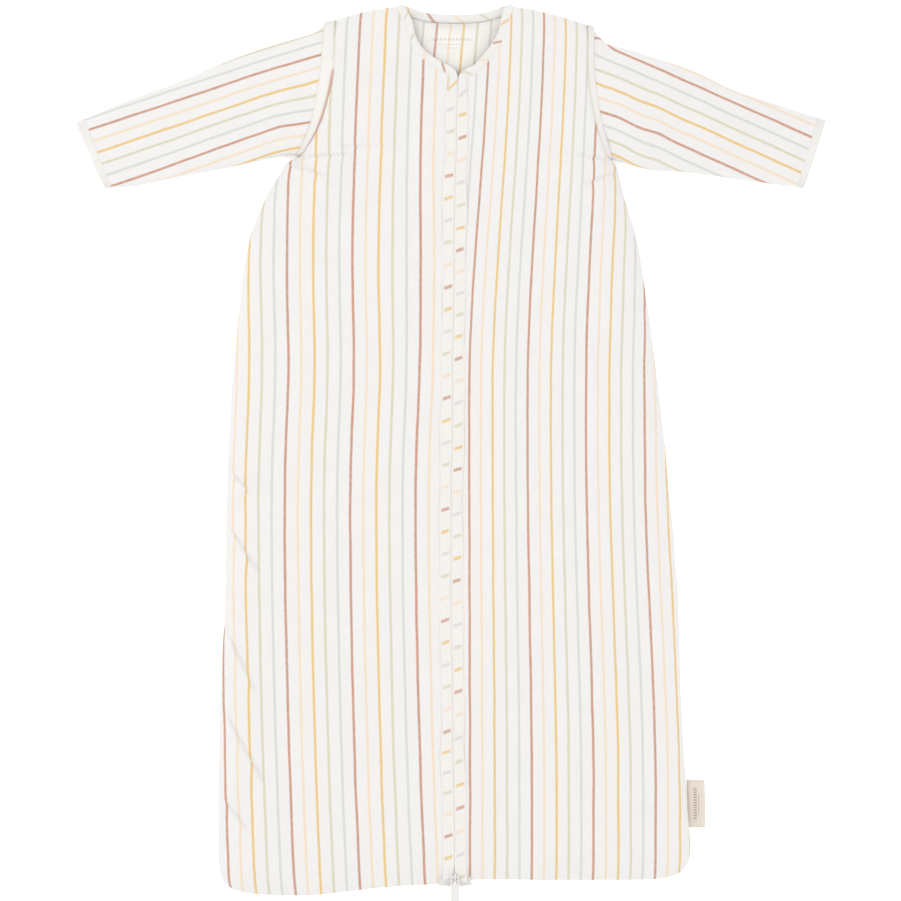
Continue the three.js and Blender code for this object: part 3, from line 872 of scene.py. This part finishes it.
def welt(side):
    """A folded strip over one half of the zip, stitched along both edges."""
    y = np.arange(WELT_LOW, WELT_HIGH, STRIP_STEP)
    half = WELT_HALF + 0.3 * MM * np.sin(y / 0.013 + 1 + SIDES[side]) + 0.2 * MM * np.sin(y / 0.031)
    plan = np.column_stack([welt_centre(side, y, half), y])
    z = ZIP_BED - WELT_SINK + WELT_THICK + 0.2 * MM * np.sin(y / 0.017)
    z += 0.2 * MM * np.sin(y / 0.043 + 2)
    thick = WELT_THICK * (0.25 + 0.75 * dome(np.minimum(y - WELT_LOW, y[-1] - y) / (8 * MM)))
    verts, faces, way, w, h = sweep(np.column_stack([plan, z]), (1, 0, 0), half, thick, 18, 0.9)
    slip = np.interp(way + WELT_LOW, *WELT_SLIP[side])
    stripe = dash_print(way - slip, w, WELT_HALF, WELT_SLANT, WELT_BRICK[side] - WELT_LOW, WELT_REACH)
    obj = piece(f"zip_welt_{side}", verts, faces, WELT[side], "bag", (f"welt_{side}",),
                {"stripe": stripe, "flat": girth(way, w, h, WELT_HALF)})
    for edge in (-WELT_STITCHED, WELT_STITCHED):
        line = np.column_stack([plan[:, 0] + edge * half, y, z + 0.72 * thick])
        place = "inner" if edge * SIDES[side] < 0 else "outer"
        stitches(f"welt_stitching_{side}_{place}", line)


# ---- Stitching ----
STITCH, STITCH_GAP, THREAD_HALF = 2.4 * MM, 0.9 * MM, 0.24 * MM
STITCH_SHAPE = ((0, 0.25), (0.15, 0.9), (0.5, 1.1), (0.85, 0.9), (1, 0.25))


def stitches(name, line):
    """A row of short stitches along a line."""
    line = resample(line, 1 * MM)
    way = way_along(line)
    shares, sizes = np.array(STITCH_SHAPE).T
    c, s = rounded_section(6, 1)
    verts, faces = [], []
    for start in np.arange(1 * MM, way[-1] - STITCH, STITCH + STITCH_GAP):
        at = np.column_stack([np.interp(start + shares * STITCH, way, line[:, k]) for k in range(3)])
        along = at[-1] - at[0]
        along /= np.linalg.norm(along)
        side = np.cross(along, (0, 0, 1))
        side /= np.linalg.norm(side)
        up = np.cross(side, along)
        faces += capped_tube(len(at), len(c), base=len(verts))
        ring = THREAD_HALF * (c[:, None] * side + s[:, None] * up)
        verts += [point + size * spoke for point, size in zip(at, sizes) for spoke in ring]
    piece(name, verts, faces, THREAD, "bag", ())


# ---- Neck binding ----
BIND_HALF, BIND_THICK = 5.0 * MM, 2.8 * MM
FRONT_BIND_Z, BACK_BIND_Z = 20.2 * MM, 5.6 * MM
NECK_SLANT, NECK_REACH, NECK_FIRST, NECK_STRETCH = 0.9, 0.8, 34.2 * MM, 13 * MM


def neck_half(side):
    """Half of the binding's centreline, from the zip to the back's middle, with its outward direction."""
    line = NECK_FRONT[side]
    fall = np.linspace(0, 1, len(line)) ** 4 * 1.5 * MM
    front = [(x, y, FRONT_BIND_Z - drop) for (x, y), drop in zip(line, fall)]
    turn = [(0.0535, 0.4460, 14.5 * MM), (0.0525, 0.4482, 9.5 * MM)]
    back = [(0.044, 0.4443, 6.5 * MM), (0.025, 0.4395, BACK_BIND_Z), (0, 0.4380, BACK_BIND_Z)]
    out = [(1, 0), (0.98, -0.2), (0.70, -0.71), (0.50, -0.86), (0.60, -0.80), (0.82, -0.57), (0.95, -0.3),
           (0.98, -0.05), (0.9, 0.4), (0.7, 0.7), (0.25, 0.96), (0.08, 1), (0, 1)]
    both = np.array([(*p, *d) for p, d in zip([*front, *turn, *back], out)])
    both[:, [0, 3]] *= SIDES[side]
    both[:, 2] += 1.4 * MM * smoothstep(0.386, 0.368, both[:, 1])
    return both


def neck_binding():
    """One rounded strip down both front edges and round the back, with a row of stitches on the front."""
    right, left = neck_half("right"), neck_half("left")
    whole = spline(np.vstack([left, right[::-1][1:]]), STRIP_STEP)
    centre, out = whole[:, :3], np.column_stack([whole[:, 3:5], np.zeros(len(whole))])
    ends = np.minimum(np.arange(len(centre)), np.arange(len(centre))[::-1]) * STRIP_STEP
    thick = BIND_THICK * (0.45 + 0.55 * dome(ends / (9 * MM)))
    verts, faces, way, w, h = sweep(centre, out, BIND_HALF, thick, 16, 0.7)
    verts[:, 2] += 0.25 * MM * waves(verts[:, :2], 0.02, 1, 4)
    stretch = NECK_STRETCH * smoothstep(-0.05, 0.05, way - way[-1] / 2)
    stripe = dash_print(way - stretch, w, BIND_HALF, NECK_SLANT, NECK_FIRST, NECK_REACH)
    obj = piece("neck_binding_strip", verts, faces, BINDING, "bag", ("neck_binding",),
                {"stripe": stripe, "flat": girth(way, w, h, BIND_HALF)})
    edge = out / np.linalg.norm(out, axis=1)[:, None] * 0.7 * BIND_HALF
    line = centre + edge + np.column_stack([np.zeros((len(centre), 2)), 0.88 * thick])
    stitches("neck_stitching_left", line[: len(line) // 3])
    stitches("neck_stitching_right", line[-len(line) // 3 :])


# ---- Flattened tubes: sleeves, their linings, cuffs and armhole bindings ----
def lofted(top, bottom, low, high, inset, around, bow):
    """One surface of a flattened tube between two edges in the plan and two heights. Gives its points,
    how far up each is from -1 to 1, and where each would lie if the cloth were unrolled onto the plan."""
    c, s = rounded_section(around, 0.75)
    width = np.linalg.norm(top - bottom, axis=1)[:, None]
    middle, half = ((low + high) / 2)[:, None], ((high - low) / 2 - inset)[:, None]
    share = 0.5 + 0.5 * c[None, :] * (1 - 2 * inset / width)
    plan = bottom[:, None] + (top - bottom)[:, None] * share[:, :, None] + bow(share)
    place = share * width
    step = np.hypot(np.diff(place, axis=1, append=place[:, :1]), np.diff(s, append=s[0])[None] * half)
    way = np.cumsum(step, axis=1) - step
    quarter, whole = way[:, [around // 4]], way[:, [-1]] + step[:, [-1]]
    over = np.where(np.arange(around) <= around // 2, quarter - way, quarter + whole - way)
    centre, up = (top + bottom) / 2, (top - bottom) / width
    pressed = centre[:, None] + up[:, None] * over[:, :, None]
    return np.dstack([plan, middle + half * s[None, :]]), np.broadcast_to(s, share.shape), pressed


def sleeve_number(x, y, side):
    """Which printed stripe runs over each point of a sleeve. x grows from the armhole to the cuff."""
    if side == "left":
        dip = 0.006 * smoothstep(0.185, 0.135, x) * smoothstep(0.385, 0.335, y)
        first = 0.403 - 0.329 * (x - 0.131) - dip
        return (first - y) / np.interp(x, [0.14, 0.34], [0.0118, 0.0128])
    pucker = 0.006 * bell(x, 0.148, 0.008) * smoothstep(0.398, 0.415, y)
    pucker += 0.0013 * np.sin((x - 0.15) / 0.0075) * bell(x, 0.185, 0.03) * smoothstep(0.385, 0.34, y)
    first = 0.4052 - 0.447 * (x - 0.162) + pucker
    return (y - first) / RIGHT_SLEEVE_PITCH


SLEEVE_BOW = {"left": -8 * MM, "right": -6 * MM}
THREAD_TURN = math.radians(71)
SLEEVE_CREASES = {
    "left": [((0.150, 0.306), (0.190, 0.345), 2.2, 6), ((0.160, 0.302), (0.215, 0.318), 2.0, 6),
             ((0.148, 0.325), (0.172, 0.380), 1.6, 7), ((0.235, 0.300), (0.262, 0.352), 1.2, 10),
             ((0.270, 0.352), (0.282, 0.300), -1.0, 9), ((0.185, 0.405), (0.215, 0.365), 1.2, 8)],
    "right": [((0.146, 0.420), (0.172, 0.398), 2.0, 5), ((0.150, 0.408), (0.185, 0.402), -1.4, 5),
              ((0.158, 0.304), (0.205, 0.322), 2.2, 6), ((0.165, 0.298), (0.235, 0.300), 1.8, 6),
              ((0.150, 0.330), (0.190, 0.350), 1.5, 7), ((0.240, 0.362), (0.262, 0.300), 1.1, 10),
              ((0.285, 0.290), (0.300, 0.345), -0.9, 9)],
}


def sleeve_wrinkles(plan, side, ends):
    """How far a sleeve's top is lifted. The small folds fade at its ends."""
    broad, fine = waves(plan, 0.05, 0.7, 31 + SIDES[side]), waves(plan, 0.022, 1, 5)
    return (0.8 * broad + 0.35 * fine) * MM * ends + folds(plan, crease, SLEEVE_CREASES[side])


def sleeve_surface(side, start, end, rows, inset, around, wrinkled=False):
    """A sleeve's surface from start to end of its length, and where each point lies when unrolled."""
    length = np.linspace(start, end, rows)
    rails = [spline(on_side(line[side], side), count=400) for line in (SLEEVE_TOP, SLEEVE_BOTTOM)]
    top, bottom = (at_share(rail, length) for rail in rails)
    low = np.full(rows, FLOOR_CLEAR)
    high = FLOOR_CLEAR + 2 * SLEEVE_HALF * (1 - 0.10 * smoothstep(0.3, 1, length))
    high -= 0.6 * MM * smoothstep(0.95, 1, length)

    def bow(share):
        push = SIDES[side] * SLEEVE_BOW[side] * np.sin(np.pi * np.clip(share, 0, 1))
        push *= bell(length, 0, 0.12)[:, None]
        return np.dstack([push, np.zeros_like(push)])

    grid, s, pressed = lofted(top, bottom, low, high, inset, around, bow)
    if wrinkled:
        along = np.linspace(0, 1, rows)
        ends = np.repeat(smoothstep(0.0, 0.08, along) * smoothstep(1.0, 0.9, along), around)
        lift = sleeve_wrinkles(on_side(grid[..., :2].reshape(-1, 2), side), side, ends).reshape(s.shape)
        grid[..., 2] += lift * np.clip(s, 0, 1) + np.abs(lift) * 0.4 * np.clip(-s, 0, 1)
    return grid, pressed


def sleeve_print(side, pressed):
    """The print of a sleeve's outer and inner surface, plain along the seam under the arm."""
    rows, around = pressed.shape[:2]
    share = np.tile(np.abs(np.arange(around) - around // 2 - 0.5) > 1, 2 * rows)
    x, y = np.vstack([pressed.reshape(-1, 2)] * 2).T
    cos, sin = math.cos(THREAD_TURN), math.sin(THREAD_TURN) * SIDES[side]
    turned = np.column_stack([x * cos + y * sin, y * cos - x * sin])
    return print_data(turned, sleeve_number(x * SIDES[side], y, side), SLEEVE_PITCH, share)


def across_joint(obj):
    """Bakes a sleeve piece's placement into its mesh."""
    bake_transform(obj)


def sleeve_layer(side, name, replaced, material, start, insets, rows, around, wrinkled=False):
    """A tube with a wall between two insets, from near the armhole to under the cuff."""
    end = 1 - CUFF_SHARE * 0.6
    outer, pressed = sleeve_surface(side, start, end, rows, insets[0], around, wrinkled)
    inner, _ = sleeve_surface(side, start, end, rows, insets[1], around)
    verts, faces = thick_tube(outer, inner, side == "right")
    obj = piece(f"sleeve_{side}_{name}", verts, faces, material, None,
                [f"sleeve_{layer}_{side}" for layer in replaced], sleeve_print(side, pressed))
    across_joint(obj)
    return obj


def sleeve(side):
    """A padded sleeve with its lining inside."""
    insets = (0, SLEEVE_WALL)
    obj = sleeve_layer(side, "padded", ("outer", "wadding"), SHELL, 0, insets, 96, 120, True)
    insets = (SLEEVE_WALL + SLEEVE_GAP, SLEEVE_WALL + SLEEVE_GAP + LINING)
    obj = sleeve_layer(side, "lining_tube", ("lining",), INSIDE, 0.01, insets, 40, 60)


def ring_band(side, start, end, proud, wall, rows, around):
    """A band round a sleeve that stands a little proud of it, with soft edges."""
    swell = dome(np.minimum(np.linspace(0, 1, rows), np.linspace(1, 0, rows)) * 3.2)
    grids = []
    for sign, base in ((-1, 0), (1, wall)):
        grid, _ = sleeve_surface(side, start, end, rows, base, around)
        swollen, _ = sleeve_surface(side, start, end, rows, base + sign * proud, around)
        grids.append(grid + (swollen - grid) * swell[:, None, None])
    return thick_tube(*grids, side == "right")


def cuff(side):
    """A nearly plain binding over the sleeve's end, with very faint dashes."""
    around = 88
    verts, faces = ring_band(side, 1 - CUFF_SHARE, 1.0, CUFF_PROUD, CUFF_WALL, 9, around)
    verts[:, 2] = np.maximum(verts[:, 2], FLOOR_CLEAR * 0.6)
    way = np.tile(np.arange(around), len(verts) // around) / around * CUFF_GIRTH
    ones = np.ones(len(verts))
    stripe = np.column_stack([way / DASH_PITCH + verts[:, 0] * 30, 0.06 * ones, 0.15 * ones])
    obj = piece(f"cuff_band_{side}", verts, faces, BINDING, f"sleeve_{side}", (f"cuff_binding_{side}",),
                {"stripe": stripe, "flat": np.column_stack([way, verts[:, :2]])})


# ---- Armhole bindings ----
# How far down the armhole the inner line turns from sage to brick, and where the lines fade out.
# Past 1 is never.
ARMHOLE_TURN = {"left": 0.34, "right": 1.2}
ARMHOLE_FADE = {"left": (1.2, 1.1), "right": (0.92, 0.72)}
ARMHOLE_LENGTH, ARMHOLE_GIRTH, ARMHOLE_WALL = 0.134, 0.27, 3.4 * MM


def armhole_surface(inner_line, outer_line, inset, rows, around):
    """One surface of an armhole binding, and how far down the armhole each of its columns is."""
    c, s = rounded_section(around, 0.7, 0.4)
    down = 0.5 - 0.5 * c * (1 - 2 * inset / ARMHOLE_LENGTH)
    fall = 1 - 0.12 * smoothstep(0.1, 0.0, down) - 0.15 * smoothstep(0.9, 1.0, down)
    grid = np.zeros((rows, around, 3))
    for row, t in zip(grid, np.linspace(0, 1, rows)):
        row[:, :2] = at_share(inner_line + (outer_line - inner_line) * t, down)
        crown = 0.9 * MM * dome(min(t, 1 - t) * 3.5) + 1.3 * MM * smoothstep(0.55, 0.9, down)
        top = ZIP_BED * (1 - t) + (FLOOR_CLEAR + 2 * SLEEVE_HALF + 0.2 * MM) * t + crown
        low = 0.9 * MM * (1 - t) + 0.4 * MM * t
        row[:, 2] = (top + low) / 2 + ((top - low) / 2 - inset) * fall * s
    return grid, down


def armhole_print(side, across, down):
    """Faint lines along the binding: sage and then brick inside, peach outside."""
    brick, outside = down > ARMHOLE_TURN[side], across > 0.5
    strength = np.where(outside, 0.5 * smoothstep(0.8, 0.95, across), smoothstep(0.26, 0.12, across))
    strength *= smoothstep(0, 0.06, np.abs(down - ARMHOLE_TURN[side])) * smoothstep(*ARMHOLE_FADE[side], down)
    order = WELT_ORDER["left"]
    number = np.where(outside, order.index(PEACH), np.where(brick, order.index(BRICK), order.index(SAGE)))
    return np.column_stack([number, np.full(len(down), 0.45), strength * np.where(brick, 1.0, 0.75)])


def armhole_binding(side):
    """A curved cream band over the sleeve's end, open in the middle for the arm."""
    rows, around = 11, 96
    lines = [spline(on_side(line[side], side), count=200) for line in (ARMHOLE_IN, ARMHOLE_OUT)]
    outer, _ = armhole_surface(*lines, 0.0, rows, around)
    inner, down = armhole_surface(*lines, ARMHOLE_WALL, rows, around)
    verts, faces = thick_tube(outer, inner, side == "right")
    verts[:, 2] += 0.3 * MM * waves(verts[:, :2], 0.018, 1, 17) * smoothstep(0.004, 0.012, verts[:, 2])
    across = np.tile(np.repeat(np.linspace(0, 1, rows), around), 2)
    way = np.tile(np.arange(around), 2 * rows) / around * ARMHOLE_GIRTH
    obj = piece(f"armhole_band_{side}", verts, faces, BINDING, "bag", (f"armhole_binding_{side}",),
                {"stripe": armhole_print(side, across, np.tile(down, 2 * rows)),
                 "flat": np.column_stack([across * 0.01, way, 0 * way])})


# ---- Seams ----
SEAM_HALF, SEAM_HALF_HEIGHT = 1.6 * MM, 0.8 * MM


def ribbon_seam(name, line, replaced):
    """An overlocked seam allowance: a narrow rippled ribbon."""
    line = resample(line, 2.2 * MM)
    side = np.gradient(line, axis=0)
    side = np.column_stack([side[:, 1], -side[:, 0], np.zeros(len(line))])
    side /= np.linalg.norm(side, axis=1)[:, None]
    ripple = 0.25 * MM * np.sin(np.arange(len(line)) * 2.1)
    centre = np.column_stack([line, np.full(len(line), SEAM_Z + 1.4 * MM) + ripple])
    verts, faces, *_ = sweep(centre, side, SEAM_HALF + ripple, SEAM_HALF_HEIGHT, 8, 0.6)
    piece(name, verts, faces, THREAD, "bag", (replaced,))


def seams():
    """The side and shoulder seams, and the foot seam in one piece."""
    for side, sign in SIDES.items():
        shoulder, _, flank, _ = EDGES[side]
        ribbon_seam(f"side_overlock_{side}", inset_line(flank, SEAM_INSET, sign), f"side_seam_{side}")
        line = inset_line(shoulder, SEAM_INSET, sign)[2:-2]
        ribbon_seam(f"shoulder_overlock_{side}", line, f"shoulder_seam_{side}")
    right, left = (inset_line(EDGES[side][3], SEAM_INSET, SIDES[side]) for side in ("right", "left"))
    whole = np.vstack([right, left[::-1]])
    ribbon_seam("foot_overlock", spline(whole[::4], 2 * MM), "foot_seam")


# ---- Zip ----
TAPE_HALF_HEIGHT, TOOTH_PITCH = 0.42 * MM, 1.6 * MM
TOOTH_SHAPE = ((-0.36, 0.75), (-0.2, 1), (0.2, 1), (0.36, 0.75))


def zip_tape(side):
    """A woven tape along one edge of the slit, which turns outward at the hem."""
    low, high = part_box(f"zip_tape_{side}")
    y = np.linspace(low.y, high.y, 190)
    flare = 2.0 * MM * smoothstep(-0.418, -0.431, y)
    x = (low.x + high.x) / 2 + SIDES[side] * flare
    z = np.full(len(y), (low.z + high.z) / 2)
    half = (high.x - low.x) / 2
    verts, faces, way, w, h = sweep(np.column_stack([x, y, z]), (1, 0, 0), half, TAPE_HALF_HEIGHT, 12, 0.5)
    obj = piece(f"zip_tape_woven_{side}", verts, faces, TAPE, "bag", (f"zip_tape_{side}",),
                {"flat": girth(way, w, h, half)})


def zip_teeth(side):
    """The coil's turns, each a short bead. The two sides are half a pitch apart."""
    low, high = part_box(f"zip_coil_{side}")
    centre = Vector(((low.x + high.x) / 2, 0, (low.z + high.z) / 2))
    wide, tall = (high.x - low.x) / 2, (high.z - low.z) / 2
    shift = 0.25 * TOOTH_PITCH * SIDES[side]
    rows = np.arange(low.y + TOOTH_PITCH, high.y - TOOTH_PITCH, TOOTH_PITCH) + shift
    c, s = rounded_section(8, 1)
    verts, faces = [], []
    for y in rows:
        faces += capped_tube(len(TOOTH_SHAPE), len(c), True, len(verts))
        for step, size in TOOTH_SHAPE:
            x, z = centre.x + wide * size * c, centre.z + tall * size * s
            verts += np.column_stack([x, np.full(len(c), y + step * TOOTH_PITCH), z]).tolist()
    piece(f"zip_teeth_{side}", verts, faces, NYLON, "bag", (f"zip_coil_{side}",))


def keep_node(name, material, bevel):
    """Shows a CAD node with a better material and softened edges."""
    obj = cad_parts[name]
    obj.data.materials.clear()
    obj.data.materials.append(material)
    soft = obj.modifiers.new("softened_edges", "BEVEL")
    soft.width = bevel
    soft.segments = 2
    soft.limit_method = "ANGLE"


def zip_hardware():
    """The zip's hard parts, as the CAD has them."""
    keep_node("zip_slider", LACQUER, 0.35 * MM)
    keep_node("pull_tab", LACQUER, 0.4 * MM)
    for name in ("zip_pin", "zip_retainer_box", "zip_end_stop_left", "zip_end_stop_right"):
        keep_node(name, NYLON, 0.25 * MM)


# ---- Side label ----
LABEL_DROP, LABEL_SHORT, LABEL_ROOT = 2.2 * MM, 2.8 * MM, 3.5 * MM
LABEL_FOLD, LABEL_THICK, LABEL_CURL = 0.75 * MM, 0.35 * MM, 2.2 * MM
LABEL_MIDDLE = 23.4 * MM


def label_material():
    """Beige woven label with a column of plain bars, which stand for no letters, and a thin rule."""
    graph = Graph("woven_label")
    flat = graph.attribute("flat")
    x, y, _ = graph.split(flat)
    bar = graph.band(graph.math("FRACT", graph.math("DIVIDE", y, 2.6 * MM)), 0.5, 0.22, 0.08)
    tall = graph.band(x, 6.4 * MM, 1.6 * MM, 0.2 * MM)
    short = graph.band(y, LABEL_MIDDLE, 16.5 * MM, 0.4 * MM)
    rule = graph.band(x, 9.8 * MM, 0.3 * MM, 0.15 * MM)
    half = graph.band(y, LABEL_MIDDLE, 10 * MM, 0.3 * MM)
    marks = graph.math("MAXIMUM", graph.product(tall, short, bar), graph.product(rule, half, 0.7))
    weft = graph.noise(graph.stretched(flat, (1, 0.15, 1)), 1400, 2)
    base = graph.mix(weft, linear((222, 210, 197)), linear((232, 222, 210)))
    color = graph.mix(graph.product(marks, 0.75), base, linear((150, 127, 108)))
    return graph.finish(color, 0.8, weave(graph, flat, 0.5 * MM, 0.12 * MM), Sheen_Weight=0.2)


def label_section(root, flap, z):
    """The folded label's section from below round to the top: x, z and the way along the cloth."""
    share = np.linspace(0, 1, 12)
    turn = np.linspace(-math.pi / 2, math.pi / 2, 9)
    lower = np.column_stack([root + flap * share, np.full(12, z - LABEL_FOLD), flap * share])[:-1]
    fold = np.column_stack([root + flap + LABEL_FOLD * np.cos(turn), z + LABEL_FOLD * np.sin(turn),
                            flap + LABEL_FOLD * (turn + math.pi / 2)])
    share = share[-2::-1]
    upper = np.column_stack([root + flap * share, z + LABEL_FOLD * (0.5 + 0.5 * share), flap * (2 - share)])
    return np.vstack([lower, fold, upper])


def side_label():
    """A woven label folded once, sewn into the right side seam and curled up at its free end."""
    low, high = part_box("side_label")
    y = np.linspace(low.y, high.y, 24) - LABEL_DROP
    depth = high.x - low.x - LABEL_SHORT
    root, flap = low.x - LABEL_ROOT, depth + LABEL_ROOT - LABEL_FOLD
    section = label_section(root, flap, (low.z + high.z) / 2)
    normal = np.gradient(section[:, :2], axis=0)
    normal = np.column_stack([normal[:, 1], -normal[:, 0]])
    normal /= np.linalg.norm(normal, axis=1)[:, None]
    rows, n = len(y), len(section)
    grids = np.zeros((2, rows, n, 3))
    for grid, thick in zip(grids, (0.0, LABEL_THICK)):
        x, height = (section[:, :2] - normal * thick).T
        curl = LABEL_CURL * smoothstep(0, 1, (x - root) / (flap + LABEL_FOLD)) ** 2
        grid[..., 0] = x + 0.3 * MM * np.sin(y / 0.012)[:, None]
        grid[..., 1] = y[:, None]
        grid[..., 2] = height + curl * (0.5 + 0.5 * np.cos((y - y[0]) / 0.021))[:, None]
    index = np.arange(rows * n).reshape(rows, n)
    skin = np.stack([index[:-1, :-1], index[:-1, 1:], index[1:, 1:], index[1:, :-1]], axis=-1).reshape(-1, 4)
    border = [*index[0], *index[1:, -1], *index[-1, -2::-1], *index[-2:0:-1, 0]]
    faces = [*skin, *(skin[:, ::-1] + rows * n)]
    faces += [(a, a + rows * n, b + rows * n, b) for a, b in zip(border, [*border[1:], border[0]])]
    flat = np.zeros((rows, n, 3))
    flat[..., 0] = section[:, 2] - flap
    flat[..., 0] = np.where(flat[..., 0] > 0, depth + 1.5 * MM - flat[..., 0], -flat[..., 0])
    flat[..., 1] = (y - y[0])[:, None]
    obj = piece("side_label_woven", grids.reshape(-1, 3), faces, label_material(), "label", ("side_label",),
                {"flat": np.stack([flat, flat])})


# ---- Build ----
back_panel()
for half in SIDES:
    for build in (front_panel, front_lining, sleeve, cuff, armhole_binding, welt, zip_tape, zip_teeth):
        build(half)
back_lining()
neck_binding()
seams()
zip_hardware()
side_label()


# ---- Floor, light and camera ----
WHITE = (1, 1, 1, 1)
FLOOR_HALF = 12.0
CAMERA_PLACE = (-0.0045, 0.0045, 2.147)


def floor():
    """A white paper floor that glows a little, so that it stays white."""
    graph = Graph("paper_floor")
    place = graph.add("ShaderNodeTexCoord").outputs["Object"]
    tone = graph.mix(graph.noise(place, 3, 2), linear((253, 253, 253)), linear((255, 255, 255)))
    material = graph.finish(tone, 0.9, Specular_IOR_Level=0.1, Emission_Color=WHITE, Emission_Strength=0.25)
    corners = [(x * FLOOR_HALF, y * FLOOR_HALF, 0) for x, y in ((-1, -1), (1, -1), (1, 1), (-1, 1))]
    piece("floor", corners, [(0, 1, 2, 3)], material)


def softbox(name, place, size, power):
    """A round soft lamp that points at the middle of the bag."""
    lamp = bpy.data.lights.new(name, "AREA")
    lamp.shape = "DISK"
    lamp.size = size
    lamp.energy = power
    obj = bpy.data.objects.new(name, lamp)
    obj.location = place
    obj.rotation_euler = (-Vector(place)).to_track_quat("-Z", "Y").to_euler()
    bpy.context.scene.collection.objects.link(obj)


def studio():
    """A nearly white surrounding light with two soft lamps."""
    world = bpy.data.worlds.new("studio")
    world.use_nodes = True
    sky = world.node_tree.nodes["Background"].inputs
    sky["Color"].default_value = WHITE
    sky["Strength"].default_value = 0.955
    bpy.context.scene.world = world
    softbox("key", (-1.4, 0.6, 2.8), 1.4, 20)
    softbox("fill", (1.8, -0.9, 2.8), 2.0, 11)
    bpy.context.scene.view_settings.view_transform = "Standard"


def camera():
    """A long lens that looks straight down on the bag."""
    data = bpy.data.cameras.new("camera")
    data.lens, data.sensor_width = 85, 36
    obj = bpy.data.objects.new("camera", data)
    obj.location = CAMERA_PLACE
    bpy.context.scene.collection.objects.link(obj)
    bpy.context.scene.camera = obj


floor()
studio()
camera()
